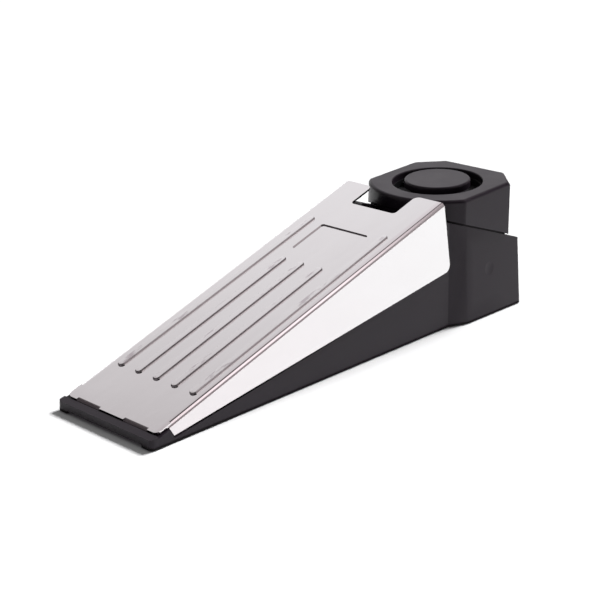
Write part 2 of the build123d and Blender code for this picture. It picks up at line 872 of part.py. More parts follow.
with BuildPart() as pressure_plate:
    # Side view of the bent sheet, cut to the plan of the blank
    with BuildSketch(Plane.XZ) as side_view:
        side_profile(
            [
                (flange_front, plate_z(flange_front)),
                (plate_rear, plate_z(plate_rear)),
                (flange_heel, flange_z(flange_heel)),
                (flange_toe, flange_toe_height),
                (flange_front, plate_z(flange_front) - sheet / cos(slope)),
            ]
        )
        fillet(side_view.vertices().sort_by(Axis.X)[-1:], radius=flange_corner)
    extrude(amount=length, both=True)
    with BuildSketch(plate_plane.offset(overrun)):
        Polygon(
            (0, -plate_half(0)),
            (length, -plate_half(length)),
            (length, plate_half(length)),
            (0, plate_half(0)),
        )
    extrude(amount=-length, mode=Mode.INTERSECT)
    with BuildSketch(plate_plane.offset(-sheet)):
        Polygon(
            (-overrun, sheet - plate_half(-overrun)),
            (length, sheet - plate_half(length)),
            (length, plate_half(length) - sheet),
            (-overrun, plate_half(-overrun) - sheet),
        )
    extrude(amount=-length, mode=Mode.SUBTRACT)
    # Folds, rounded outside and inside
    for radius, level in ((fold_radius, 0), (fold_radius - sheet, -sheet)):
        folds = [
            e
            for e in pressure_plate.edges()
            if e.length > notch_start
            and abs(plate_plane.to_local_coords(e @ (1 / 2)).Z - level) < sheet / 4
        ]
        fillet(folds, radius=radius)
    # Flat front edge, ahead of the flanges
    with BuildSketch(plate_plane.offset(-sheet)) as tongue:
        Polygon(
            (0, -plate_half(0) + fold_relief),
            (flange_start + fold_radius, -plate_half(flange_start + fold_radius) + fold_relief),
            (flange_start + fold_radius, plate_half(flange_start + fold_radius) - fold_relief),
            (0, plate_half(0) - fold_relief),
        )
        fillet(tongue.vertices().group_by(Axis.X)[0], radius=front_corner)
    extrude(amount=sheet)
    # Notch that clears the tower
    with BuildSketch(plate_plane.offset(-sheet - overrun)) as notch:
        with Locations((plate_length, 0)):
            Rectangle(2 * notch_depth, notch_width)
        fillet(notch.vertices(), radius=notch_corner)
    extrude(amount=sheet + 2 * overrun, mode=Mode.SUBTRACT)
    ears = [
        e
        for e in pressure_plate.edges()
        if abs(e.length - sheet) < fit_gap
        and plate_plane.to_local_coords(e @ (1 / 2)).X > plate_length - fit_gap
    ]
    fillet(ears, radius=ear_corner)
    # Beads
    for row in range(bead_count):
        bead_y = (row - (bead_count - 1) / 2) * bead_pitch
        bead_end = plate_length - (long_bead_margin if row in long_bead_rows else short_bead_margin)
        with BuildSketch(plate_plane):
            with Locations(((bead_start + bead_end) / 2, bead_y)):
                SlotOverall(bead_end - bead_start, bead_width)
        extrude(amount=bead_height)
    crowns = [
        e
        for e in pressure_plate.edges()
        if abs(plate_plane.to_local_coords(e @ (1 / 2)).Z - bead_height) < bead_height / 4
    ]
    fillet(crowns, radius=bead_height * bead_round_share)
    # Sunk panel, pressed down from above
    panel_middle = plate_length - panel_margin - panel_length / 2
    with BuildSketch(plate_plane.offset(-sheet - panel_depth)) as boss:
        with Locations((panel_middle, 0)):
            Rectangle(panel_length + sheet, panel_width + sheet)
        fillet(boss.vertices(), radius=notch_corner)
    extrude(amount=panel_depth + sheet / 2)
    with BuildSketch(plate_plane.offset(-panel_depth)) as panel:
        with Locations((panel_middle, 0)):
            Rectangle(panel_length, panel_width)
        fillet(panel.vertices(), radius=panel_corner)
    extrude(amount=panel_depth + overrun, mode=Mode.SUBTRACT)
    # Tabs, bent down through the toe
    for side in (1, -1):
        with BuildSketch(plate_plane.offset(-sheet - overrun)):
            with Locations((0, side * tab_spread / 2)):
                Rectangle(2 * fold_radius, tab_width)
        extrude(amount=sheet + 2 * overrun, mode=Mode.SUBTRACT)
        tab_top = plate_z(plate_setback)
        bend_end = plate_setback + fold_radius + sheet
        under = sheet / cos(slope)
        with BuildSketch(Plane.XZ.offset(-side * tab_spread / 2)) as tab:
            side_profile(
                [
                    (plate_setback, tab_top),
                    (bend_end, plate_z(bend_end)),
                    (bend_end, plate_z(bend_end) - under),
                    (plate_setback + sheet, plate_z(plate_setback + sheet) - under),
                    (plate_setback + sheet, tab_height + sheet),
                    (plate_setback + tab_foot, tab_height + sheet),
                    (plate_setback + tab_foot, tab_height),
                    (plate_setback, tab_height),
                ]
            )
            nose = tab.vertices().group_by(Axis.X)[0]
            fillet(nose.sort_by(Axis.Y)[-1:], radius=fold_radius)
            fillet(tab.vertices().group_by(Axis.X)[0].sort_by(Axis.Y)[:1], radius=fold_radius / 2)
        extrude(amount=tab_width / 2, both=True)
pressure_plate.part.label = "pressure_plate"
export_step(pressure_plate.part, "parts/pressure_plate.step")

# Anti-slip soles under toe and heel
with BuildPart() as anti_slip_pads:
    for start, end, holes in (
        (front_sole_start, front_sole_end, screw_places[:2]),
        (rear_sole_end - rear_sole_length, rear_sole_end, []),
    ):
        with BuildSketch(Plane.XY) as sole:
            with Locations((along((start + end) / 2), 0)):
                Rectangle(end - start, sole_width)
            fillet(sole.vertices(), radius=sole_corner)
        extrude(amount=belly_height)
        for x, y in holes:
            with BuildSketch(Plane.XY):
                with Locations((along(x), y)):
                    Circle(screw_head_radius + rest_gap)
            extrude(amount=belly_height, mode=Mode.SUBTRACT)
anti_slip_pads.part.label = "anti_slip_pads"
export_step(anti_slip_pads.part, "parts/anti_slip_pads.step")

# Base cover with the battery opening
door_middle = along(door_front + door_length / 2)
door_rear = door_front + door_length
with BuildPart() as base_cover:
    with BuildSketch(Plane.XY.offset(belly_height)):
        base_outline(0)
    extrude(amount=base_thickness)
    with BuildSketch(Plane.XY.offset(belly_height)):
        with Locations((door_middle, 0)):
            Rectangle(door_length, door_width)
    extrude(amount=base_thickness - latch_ledge_thickness, mode=Mode.SUBTRACT)
    with BuildSketch(Plane.XY.offset(belly_height)):
        with Locations((door_middle - latch_ledge / 2, 0)):
            Rectangle(door_length - latch_ledge, door_width)
    extrude(amount=base_thickness, mode=Mode.SUBTRACT)
    for x, y in screw_places:
        with BuildSketch(Plane.XY.offset(belly_height)):
            with Locations((along(x), y)):
                Circle(screw_radius + fit_gap / 2)
        extrude(amount=base_thickness, mode=Mode.SUBTRACT)
        with BuildSketch(Plane.XY.offset(belly_height)):
            with Locations((along(x), y)):
                Circle(screw_head_radius + fit_gap / 2)
        extrude(amount=screw_head_height, mode=Mode.SUBTRACT)
    # Finger recess behind the door
    with BuildSketch(Plane.XY.offset(belly_height)):
        with Locations((along(door_rear), 0)):
            SlotOverall(finger_length, finger_width)
    extrude(amount=finger_depth, mode=Mode.SUBTRACT)
base_cover.part.label = "base_cover"
export_step(base_cover.part, "parts/base_cover.step")

# Battery door with hinge lugs that hook over the cover
lug_low = base_top + fit_gap / 2
with BuildPart() as battery_door:
    with BuildSketch(Plane.XY.offset(belly_height)):
        with Locations((door_middle, 0)):
            Rectangle(door_length - 2 * door_gap, door_width - 2 * door_gap)
    extrude(amount=door_thickness)
    for side in (1, -1):
        neck = door_front + door_gap
        with BuildSketch(Plane.XZ.offset(side * door_lug_spread / 2)):
            side_profile(
                [
                    (neck, belly_height + door_thickness),
                    (neck + door_lug_neck, belly_height + door_thickness),
                    (neck + door_lug_neck, lug_low + door_lug_thickness),
                    (door_front - door_lug_reach, lug_low + door_lug_thickness),
                    (door_front - door_lug_reach, lug_low),
                    (neck, lug_low),
                ]
            )
        extrude(amount=door_lug_width / 2, both=True)
    with BuildSketch(Plane.XY.offset(belly_height)):
        with Locations((along(door_rear), 0)):
            SlotOverall(finger_length, finger_width)
    extrude(amount=finger_depth, mode=Mode.SUBTRACT)
battery_door.part.label = "battery_door"
export_step(battery_door.part, "parts/battery_door.step")

# Four screws from below
with BuildPart() as case_screws:
    for x, y in screw_places:
        with BuildSketch(Plane.XY.offset(belly_height)):
            with Locations((along(x), y)):
                Circle(screw_head_radius)
        extrude(amount=screw_head_height)
        with BuildSketch(Plane.XY.offset(belly_height)):
            with Locations((along(x), y)):
                Circle(screw_radius)
        extrude(amount=screw_length)
        for turn in (0, 90):
            with BuildSketch(Plane.XY.offset(belly_height)):
                with Locations((along(x), y)):
                    Rectangle(screw_head_radius * screw_slot_share, screw_slot, rotation=turn)
            extrude(amount=screw_head_height / 2, mode=Mode.SUBTRACT)
case_screws.part.label = "case_screws"
export_step(case_screws.part, "parts/case_screws.step")

# Plunger between plate and microswitch
with BuildPart() as plunger:
    with BuildSketch(plate_plane.offset(head_bottom)):
        with Locations((plunger_place, 0)):
            Circle(plunger_head_radius)
    extrude(amount=plunger_head)
    with BuildSketch(plate_plane.offset(plunger_end)):
        with Locations((plunger_place, 0)):
            Circle(plunger_radius)
    extrude(amount=plunger_length)
plunger.part.label = "plunger"
export_step(plunger.part, "parts/plunger.step")


def coil_point(turns):
    """Point of the return spring after a number of turns."""
    turn = 2 * pi * turns
    rise = (spring_length - 2 * spring_wire) * turns / spring_turns
    return plate_plane.from_local_coords(
        (
            spring_place + spring_radius * cos(turn),
            spring_radius * sin(turn),
            spring_seat + spring_wire + rise,
        )
    )


# Return spring under the plate
with BuildPart() as return_spring:
    with BuildLine() as coil:
        for step in range(spring_turns * quarter_turns):
            ThreePointArc(
                coil_point(step / quarter_turns),
                coil_point((step + 1 / 2) / quarter_turns),
                coil_point((step + 1) / quarter_turns),
            )
    with BuildSketch(Plane(origin=coil.line @ 0, z_dir=coil.line % 0)):
        Circle(spring_wire)
    sweep()
return_spring.part.label = "return_spring"
export_step(return_spring.part, "parts/return_spring.step")

# Microswitch with two peg holes and a pair of ears for the lever
switch_middle = microswitch_place + microswitch_length / 2
switch_top = microswitch_bottom + microswitch_height
peg_height = microswitch_bottom + microswitch_height / 3
pivot_place = microswitch_place + microswitch_length - lever_ear
pivot_height = switch_top + lever_pivot_height
button_place = pivot_place + (plunger_place - pivot_place) * button_place_share
with BuildPart() as microswitch_body:
    with BuildSketch(Plane.XY.offset(microswitch_bottom)):
        with Locations((along(switch_middle), 0)):
            Rectangle(microswitch_length, microswitch_depth)
    extrude(amount=microswitch_height)
    for side in (1, -1):
        ear_y = side * (lever_width / 2 + fit_gap + lever_ear_thickness / 2)
        with BuildSketch(Plane.XY.offset(switch_top)):
            with Locations((along(pivot_place), ear_y)):
                Rectangle(2 * lever_ear, lever_ear_thickness)
        extrude(amount=lever_pivot_height + lever_ear / 2)
        peg_x = along(switch_middle + side * microswitch_pitch / 2)
        with BuildSketch(Plane.XZ.offset(-microswitch_depth / 2)):
            with Locations((peg_x, peg_height)):
                Circle(microswitch_hole)
        extrude(amount=microswitch_depth / 2, mode=Mode.SUBTRACT)
    with BuildSketch(Plane.XY.offset(switch_top - button_sink - button_rise)):
        with Locations((along(button_place), 0)):
            Circle(button_width / 2 + fit_gap / 2)
    extrude(amount=microswitch_height, mode=Mode.SUBTRACT)
microswitch_body.part.label = "microswitch_body"
export_step(microswitch_body.part, "parts/microswitch_body.step")

# Lever from the pivot to under the plunger
lever_tip_height = tip.Z - rest_gap
with BuildPart() as switch_lever:
    with BuildSketch(Plane.XZ):
        side_profile(
            [
                (pivot_place, pivot_height - lever_thickness / 2),
                (tip_place, lever_tip_height - lever_thickness / 2),
                (tip_place, lever_tip_height + lever_thickness / 2),
                (pivot_place, pivot_height + lever_thickness / 2),
            ]
        )
    extrude(amount=lever_width / 2, both=True)
    with BuildSketch(Plane.XZ):
        with Locations((along(pivot_place), pivot_height)):
            Circle(lever_pivot_height - fit_gap / 2)
    extrude(amount=lever_width / 2, both=True)
switch_lever.part.label = "switch_lever"
export_step(switch_lever.part, "parts/switch_lever.step")

with BuildPart() as switch_button:
    with BuildSketch(Plane.XY.offset(switch_top - button_sink)):
        with Locations((along(button_place), 0)):
            Circle(button_width / 2)
    extrude(amount=button_sink + button_rise)
switch_button.part.label = "switch_button"
export_step(switch_button.part, "parts/switch_button.step")

# Circuit board, upright behind the sounder
board_front = along(board_place)
board_back = along(board_place + board_thickness)
with BuildPart() as circuit_board:
    with BuildSketch(Plane.YZ.offset(board_front)) as board_face:
        with Locations((0, board_bottom + board_height / 2)):
            Rectangle(board_width, board_height)
        fillet(board_face.vertices(), radius=board_corner)
    extrude(amount=board_thickness)
circuit_board.part.label = "circuit_board"
export_step(circuit_board.part, "parts/circuit_board.step")

chip_width = board_width * chip_width_share
chip_y = board_width * chip_y_share
with BuildPart() as control_chip:
    with BuildSketch(Plane.YZ.offset(board_front)):
        with Locations((chip_y, chip_z)):
            Rectangle(chip_width, chip_height)
    extrude(amount=-chip_thickness)
    for side in (1, -1):
        with BuildSketch(Plane.YZ.offset(board_front)):
            with Locations((chip_y, chip_z + side * chip_height / 2)):
                with GridLocations(chip_width / chip_legs, 0, chip_legs, 1):
                    Rectangle(chip_leg, 2 * chip_leg)
        extrude(amount=-chip_thickness / 2)
control_chip.part.label = "control_chip"
export_step(control_chip.part, "parts/control_chip.step")

coil_y = board_width * coil_y_share
coil_radius = board_width * coil_radius_share
with BuildPart() as driver_coil:
    with BuildSketch(Plane.YZ.offset(board_front)):
        with Locations((coil_y, coil_z)):
            Circle(coil_core)
    extrude(amount=-coil_length)
    for base in (board_front, board_front - coil_length + coil_flange):
        with BuildSketch(Plane.YZ.offset(base)):
            with Locations((coil_y, coil_z)):
                Circle(coil_radius)
        extrude(amount=-coil_flange)
    with BuildSketch(Plane.YZ.offset(board_front - coil_flange)):
        with Locations((coil_y, coil_z)):
            Circle(coil_radius - coil_flange)
    extrude(amount=2 * coil_flange - coil_length)
driver_coil.part.label = "driver_coil"
export_step(driver_coil.part, "parts/driver_coil.step")

with BuildPart() as capacitors:
    for share in capacitor_y_shares:
        with BuildSketch(Plane.YZ.offset(board_front)):
            with Locations((board_width * share, capacitor_z)):
                Circle(board_width * capacitor_radius_share)
        extrude(amount=-capacitor_length)
    cap_rims = capacitors.edges().group_by(Axis.X)[0]
    fillet(cap_rims, radius=capacitor_round)
capacitors.part.label = "capacitors"
export_step(capacitors.part, "parts/capacitors.step")

resistor_radius = board_width * resistor_radius_share
with BuildPart() as resistors:
    for share in resistor_y_shares:
        with BuildSketch(Plane.XY.offset(resistor_z - resistor_length / 2)):
            with Locations((board_front - resistor_radius, board_width * share)):
                Circle(resistor_radius)
        extrude(amount=resistor_length)
resistors.part.label = "resistors"
export_step(resistors.part, "parts/resistors.step")

transistor_y = board_width * transistor_y_share
transistor_radius = board_width * transistor_radius_share
with BuildPart() as transistor:
    with BuildSketch(Plane.YZ.offset(board_front)):
        with Locations((transistor_y, transistor_z)):
            Circle(transistor_radius)
        with Locations((transistor_y, transistor_z - transistor_radius)):
            Rectangle(2 * transistor_radius, transistor_radius, mode=Mode.SUBTRACT)
    extrude(amount=-transistor_length)
transistor.part.label = "transistor"
export_step(transistor.part, "parts/transistor.step")

# Slide switch on the back of the board and its knob in the rear wall
rear_face = length - switch_z * tan(radians(heel_draft))
stub_width = switch_body_height * stub_share
knob_rest = -knob_travel / 2
flange_face = rear_face - side_wall - rest_gap
stub_end = board_place + board_thickness + switch_body_depth / 2 + rest_gap
with BuildPart() as power_switch_body:
    with BuildSketch(Plane.YZ.offset(board_back)):
        with Locations((0, switch_z)):
            Rectangle(switch_body_width, switch_body_height)
    extrude(amount=switch_body_depth)
    with BuildSketch(Plane.YZ.offset(board_back + switch_body_depth)):
        with Locations((0, switch_z)):
            Rectangle(knob_travel + stub_width + 2 * rest_gap, stub_width + 2 * rest_gap)
    extrude(amount=-switch_body_depth / 2, mode=Mode.SUBTRACT)
power_switch_body.part.label = "power_switch_body"
export_step(power_switch_body.part, "parts/power_switch_body.step")

with BuildPart() as power_knob:
    with BuildSketch(Plane.YZ.offset(along(flange_face - knob_flange))):
        with Locations((knob_rest, switch_z)):
            Rectangle(
                knob_width + 2 * (knob_travel + knob_flange_margin),
                knob_height + 2 * knob_flange_margin,
            )
    extrude(amount=knob_flange)
    with BuildSketch(Plane.YZ.offset(along(flange_face - knob_flange))):
        with Locations((knob_rest, switch_z)):
            Rectangle(knob_width, knob_height)
    extrude(amount=knob_flange + rest_gap + side_wall - knob_recess)
    for rib in range(knob_ribs):
        with BuildSketch(Plane.YZ.offset(along(rear_face - knob_recess))):
            with Locations((knob_rest + (rib - (knob_ribs - 1) / 2) * knob_width / knob_ribs, switch_z)):
                Rectangle(knob_recess, knob_height)
        extrude(amount=-2 * knob_recess, mode=Mode.SUBTRACT)
    with BuildSketch(Plane.YZ.offset(along(flange_face - knob_flange))):
        with Locations((knob_rest, switch_z)):
            Rectangle(stub_width, stub_width)
    extrude(amount=stub_end - flange_face + knob_flange)
power_knob.part.label = "power_knob"
export_step(power_knob.part, "parts/power_knob.step")

# Nine volt battery, its snap clip and the foam in front of it
battery_bottom = belly_height + door_thickness + fit_gap
battery_middle = battery_bottom + battery_height / 2
battery_end = along(battery_place + battery_length)
with BuildPart() as battery_case:
    with BuildSketch(Plane.YZ.offset(along(battery_place))) as battery_face:
        with Locations((0, battery_middle)):
            Rectangle(battery_width, battery_height)
        fillet(battery_face.vertices(), radius=battery_corner)
    extrude(amount=battery_length)
    fillet(battery_case.faces().sort_by(Axis.X)[0].edges(), radius=battery_corner / 2)
    fillet(battery_case.faces().sort_by(Axis.X)[-1].edges(), radius=battery_corner / 4)
battery_case.part.label = "battery_case"
export_step(battery_case.part, "parts/battery_case.step")

with BuildPart() as battery_terminals:
    with BuildSketch(Plane.YZ.offset(battery_end)):
        with Locations((terminal_spread / 2, battery_middle)):
            Circle(stud_radius)
        with Locations((-terminal_spread / 2, battery_middle)):
            Circle(cup_radius)
            Circle(cup_radius - contact_wall, mode=Mode.SUBTRACT)
    extrude(amount=terminal_height)
battery_terminals.part.label = "battery_terminals"
export_step(battery_terminals.part, "parts/battery_terminals.step")

clip_front = battery_end + rest_gap
clip_width = terminal_spread + 2 * clip_margin
with BuildPart() as battery_clip:
    with BuildSketch(Plane.YZ.offset(clip_front)) as clip_face:
        with Locations((0, battery_middle)):
            Rectangle(clip_width, clip_height)
        fillet(clip_face.vertices(), radius=battery_corner)
    extrude(amount=clip_thickness)
    with BuildSketch(Plane.YZ.offset(clip_front)):
        with Locations((terminal_spread / 2, battery_middle), (-terminal_spread / 2, battery_middle)):
            Circle(cup_radius + contact_wall)
    extrude(amount=terminal_height, mode=Mode.SUBTRACT)
battery_clip.part.label = "battery_clip"
export_step(battery_clip.part, "parts/battery_clip.step")

with BuildPart() as clip_contacts:
    with BuildSketch(Plane.YZ.offset(clip_front)):
        with Locations((terminal_spread / 2, battery_middle)):
            Circle(cup_radius)
            Circle(stud_radius + fit_gap / 2, mode=Mode.SUBTRACT)
        with Locations((-terminal_spread / 2, battery_middle)):
            Circle(cup_radius - contact_wall - fit_gap / 2)
    extrude(amount=terminal_height)
clip_contacts.part.label = "clip_contacts"
export_step(clip_contacts.part, "parts/clip_contacts.step")

with BuildPart() as battery_foam:
    with BuildSketch(Plane.YZ.offset(along(battery_place - foam_thickness))):
        with Locations((0, battery_bottom + battery_height - foam_height / 2 - battery_corner)):
            Rectangle(battery_width - foam_height, foam_height)
    extrude(amount=foam_thickness)
battery_foam.part.label = "battery_foam"
export_step(battery_foam.part, "parts/battery_foam.step")

# Leads in pairs, all brought to the top of the board
clip_rear = clip_front + clip_thickness
sounder_foot = siren_plane.from_local_coords((-siren_case_radius / 2, 0, cup_bottom))
sounder_foot_z = sounder_foot.Z - lead_radius * tan(tilt)
switch_rear = along(microswitch_place + microswitch_length)
board_lead_z = board_bottom + board_height - lead_drop
switch_lead_z = microswitch_bottom + 2 * lead_radius
over_battery_z = battery_bottom + battery_height + lead_radius + lead_gap
with BuildPart() as battery_leads:
    for number in range(2):
        y = -lead_pitch * (1 + number)
        with BuildLine() as path:
            FilletPolyline(
                (clip_rear, y, battery_middle),
                (clip_rear + lead_run, y, battery_middle),
                (clip_rear + lead_run, y, board_lead_z),
                (board_front, y, board_lead_z),
                radius=lead_bend,
            )
        with BuildSketch(Plane(origin=path.line @ 0, z_dir=path.line % 0)):
            Circle(lead_radius)
        sweep()
battery_leads.part.label = "battery_leads"
export_step(battery_leads.part, "parts/battery_leads.step")

with BuildPart() as siren_leads:
    for number in range(2):
        y = lead_pitch * number
        with BuildLine() as path:
            FilletPolyline(
                (sounder_foot.X, y, sounder_foot_z),
                (sounder_foot.X, y, board_lead_z),
                (board_front, y, board_lead_z),
                radius=lead_bend,
            )
        with BuildSketch(Plane(origin=path.line @ 0, z_dir=path.line % 0)):
            Circle(lead_radius)
        sweep()
siren_leads.part.label = "siren_leads"
export_step(siren_leads.part, "parts/siren_leads.step")

# One lead on each side, over the battery and its clip and inside the screw posts
with BuildPart() as switch_leads:
    for side in (1, -1):
        start_y = side * lead_pitch / 2
        end_y = side * (post_spread / 2 - post_radius - lead_radius - lead_gap)
        turn_x = switch_rear + 2 * lead_bend + rest_gap
        drop_x = battery_end + lead_radius + lead_gap
        with BuildLine() as path:
            FilletPolyline(
                (switch_rear, start_y, switch_lead_z),
                (turn_x, start_y, switch_lead_z),
                (turn_x, end_y, over_battery_z),
                (drop_x, end_y, over_battery_z),
                (drop_x, end_y, board_lead_z),
                (board_front, end_y, board_lead_z),
                radius=lead_bend,
            )
        with BuildSketch(Plane(origin=path.line @ 0, z_dir=path.line % 0)):
            Circle(lead_radius)
        sweep()
switch_leads.part.label = "switch_leads"
export_step(switch_leads.part, "parts/switch_leads.step")
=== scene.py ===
"""Wedge door stop alarm in a soft white studio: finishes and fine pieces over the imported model."""

import json
from math import cos, radians, sin

import bpy
import numpy as np
from mathutils import Matrix, Vector


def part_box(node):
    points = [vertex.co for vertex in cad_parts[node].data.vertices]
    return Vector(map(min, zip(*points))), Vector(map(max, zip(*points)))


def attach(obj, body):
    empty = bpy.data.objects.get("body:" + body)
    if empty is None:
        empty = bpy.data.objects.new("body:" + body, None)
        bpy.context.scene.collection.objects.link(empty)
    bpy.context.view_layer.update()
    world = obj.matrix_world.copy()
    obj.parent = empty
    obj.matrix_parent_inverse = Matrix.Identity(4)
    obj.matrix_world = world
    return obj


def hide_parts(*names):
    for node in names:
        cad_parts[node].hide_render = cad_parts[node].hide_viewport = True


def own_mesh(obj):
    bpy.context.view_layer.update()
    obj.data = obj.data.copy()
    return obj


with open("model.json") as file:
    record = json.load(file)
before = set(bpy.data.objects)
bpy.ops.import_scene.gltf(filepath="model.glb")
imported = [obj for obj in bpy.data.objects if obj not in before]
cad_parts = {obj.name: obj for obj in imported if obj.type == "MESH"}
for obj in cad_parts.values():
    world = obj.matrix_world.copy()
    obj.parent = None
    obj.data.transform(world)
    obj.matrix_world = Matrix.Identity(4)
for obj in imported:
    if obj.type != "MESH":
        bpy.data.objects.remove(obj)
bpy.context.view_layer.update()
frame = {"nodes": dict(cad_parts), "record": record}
nodes = frame["nodes"]

# Camera, solved from the photograph: metres, degrees, and a focal length in the picture's pixels
IMAGE = 600
CAMERA_PLACE = (-0.27356, -0.25209, 0.14611)
CAMERA_AZIMUTH = -46.853
CAMERA_ELEVATION = 19.405
CAMERA_ROLL = 0.267
CAMERA_FOCAL = 1417.87
SENSOR = 36.0

# Warm room and neutral wall, as the polished plate shows them
ROOM_TINT = (1.0, 0.90, 0.92)
WALL_TINT = (0.995, 0.98, 1.0)
ROOM_LIGHT = 0.045
WALL_LIGHT = 0.92
# The wall's direction, and its edge and core as the cosine of the angle away
WALL = ((0.62, 0.70, 0.35), 0.68, 1.0)
# Pale things around the table as polished faces see them: direction, edge and core as for the
# wall, and the light they give
STUDIO_PATCHES = (
    ((0.0, 0.0, -1.0), -0.34, -0.02, 0.85),
    ((-0.60, 0.0, 0.80), 0.92, 0.975, 0.80),
    ((0.60, 0.0, 0.80), 0.94, 0.985, 0.75),
    ((-0.52, 0.50, 0.69), 0.90, 0.98, 0.60),
    ((0.38, -0.72, 0.58), 0.93, 0.992, 0.45),
    ((0.27, -0.12, 0.95), 0.965, 0.985, 1.3),
    ((0.32, -0.44, 0.84), 0.965, 0.985, 1.4),
)
# Light on matt faces: the side it favours, and its strength facing away from that side and to it
SKY = (0.30, -0.10, 0.95)
SKY_LIGHT = (0.07, 0.20)

FLOOR_REACH = 6.0
FLOOR_COLOUR = (0.88, 0.88, 0.885, 1)

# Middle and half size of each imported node
MIDDLE = {name: (sum(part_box(name), Vector()) / 2) for name in nodes}
HALF = {name: (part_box(name)[1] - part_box(name)[0]) / 2 for name in nodes}

# The plate rises to the rear by this, and the rim under the tower falls to the rear by as much
SLOPE = radians(18.45)
# Front edge of the plate's own frame
PLATE_ORIGIN = (-0.0724, 0, 0.0038)

# Dark lines on the case, each a place with its half width and softness: painted shade where the
# tower meets the rim, and at the foot a band that is partly the rubber sole's dark edge and partly
# painted contact shade
SEAM_PAINTED_SHADE = (0.04358, 0.00030, 0.00005)
FOOT_EDGE_AND_SHADE = (0.0, 0.0011, 0.0004)
SHADE_LINE_BLACK = (0.004, 0.003, 0.004)
# Sink marks on the sides of the heel block
SINK_MARKS = ((0.0585, -0.0186, 0.0148), (0.0585, 0.0186, 0.0148))
SINK_RADIUS = 0.0022
SINK_DEPTH = 0.00010

# Beads pressed into the plate: start and end along the slope, place across, darkness of the painted
# dark reflection at the edge
BEAD_PITCH = 0.0068
BEAD_START = -0.05138
OUTER_BEAD_END = 0.02402
INNER_BEAD_END = 0.00402
BEADS = tuple(
    (BEAD_START, OUTER_BEAD_END if number in (0, 4) else INNER_BEAD_END,
     (number - 2) * BEAD_PITCH, darkness)
    for number, darkness in enumerate((0.62, 0.95, 0.95, 0.95, 0.60))
)
# Painted dark reflection in a line at a bead's edge, and painted dark dashes of reflection over a
# bead: distance from its middle, half width and softness
BEAD_EDGE_REFLECTION = (0.00098, 0.00012, 0.00007)
BEAD_DASH_REFLECTION = (0.0, 0.0011, 0.0005)
# Darker, pinker stripe along the near edge of the plate: place across, half width and softness
NEAR_STRIPE = (-0.0170, 0.0014, 0.0010)
# Near fold of the plate: direction it faces with the edge and core of the match, and its rear part,
# where a dark reflection is painted
FOLD = ((-0.259, -0.574, 0.777), 0.927, 0.985)
FOLD_REAR_REFLECTION = (0.045, 0.055, 0.055)
# Pressed faces that look down the slope, where a dark reflection is painted, and the part of the
# plate between its flanges
DOWN_SLOPE_REFLECTION = ((-0.949, 0.0, -0.316), 0.12, 0.40)
BETWEEN_FLANGES = (0.0, 0.0160, 0.0004)

BOARD_EDGE = (MIDDLE["circuit_board"].x, 0.00072)
BOARD_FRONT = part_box("circuit_board")[0].x
RESISTOR_MIDDLE = MIDDLE["resistors"].z
RESISTOR_REACH = 0.0023
RESISTOR_STRIPE = 0.00026
BATTERY_SPAN = (MIDDLE["battery_case"].x, HALF["battery_case"].x)
BATTERY_RIM = 0.0011
# Leads: pitch of the pairs on the board, and the black ones as place across and half width
LEAD_PITCH = 0.0022
BLACK_LEADS = ((-2 * LEAD_PITCH, LEAD_PITCH / 2), (0.0, LEAD_PITCH / 4), (-0.0062, 0.0012),
               (-0.0095, 0.0012))
CAPACITOR_PLACES = (0.00301, 0.00953)
CAPACITOR_LEVEL = 0.0144


def add_camera():
    """Pinhole camera: right, up and back vectors from azimuth, elevation and roll."""
    azimuth, elevation = radians(CAMERA_AZIMUTH), radians(CAMERA_ELEVATION)
    roll = radians(CAMERA_ROLL)
    back = Vector((
        sin(azimuth) * cos(elevation),
        -cos(azimuth) * cos(elevation),
        sin(elevation),
    ))
    level = Vector((0, 0, 1)).cross(back).normalized()
    upright = back.cross(level)
    right = level * cos(roll) + upright * sin(roll)
    up = upright * cos(roll) - level * sin(roll)
    data = bpy.data.cameras.new("camera")
    data.sensor_width = SENSOR
    data.lens = CAMERA_FOCAL * SENSOR / IMAGE
    data.clip_start = 0.01
    camera = bpy.data.objects.new("camera", data)
    turn = Matrix((right, up, back)).transposed().to_4x4()
    camera.matrix_world = Matrix.Translation(CAMERA_PLACE) @ turn
    bpy.context.scene.collection.objects.link(camera)
    bpy.context.scene.camera = camera


def give(tree, socket, value):
    """Links a socket to its source, or sets its plain value."""
    if isinstance(value, bpy.types.NodeSocket):
        tree.links.new(value, socket)
    else:
        socket.default_value = value


def node(tree, kind, **inputs):
    """Shader node with its sockets set by name; a socket given as a value or a link source."""
    made = tree.nodes.new(kind)
    for name, value in inputs.items():
        give(tree, made.inputs[name.replace("_", " ")], value)
    return made


def math(tree, operation, *values, clamp=False):
    """Math node's output, from values or link sources in order."""
    made = tree.nodes.new("ShaderNodeMath")
    made.operation = operation
    made.use_clamp = clamp
    for socket, value in zip(made.inputs, values):
        give(tree, socket, value)
    return made.outputs[0]


def vectors(tree, operation, first, second):
    """Vector math node, from link sources or plain vectors."""
    made = tree.nodes.new("ShaderNodeVectorMath")
    made.operation = operation
    give(tree, made.inputs[0], first)
    give(tree, made.inputs[1], second)
    return made


def mixed(tree, kind, factor, low, high):
    """Number or colour between two, by a factor socket; each is a value or a link source."""
    made = tree.nodes.new("ShaderNodeMix")
    made.data_type = kind
    tree.links.new(factor, made.inputs["Factor"])
    give(tree, made.inputs["A"], low)
    give(tree, made.inputs["B"], high)
    return made.outputs["Result"]


def blend_colours(tree, factor, low, high):
    """Colour between two plain ones, by a factor socket."""
    return mixed(tree, "RGBA", factor, (*low, 1), (*high, 1))


def spread(tree, value, low, high, start=0.3, end=0.7):
    """Value mapped from the middle of a noise to a range."""
    ramp = node(tree, "ShaderNodeMapRange", Value=value, From_Min=start, From_Max=end, To_Min=low,
                To_Max=high)
    return ramp.outputs["Result"]


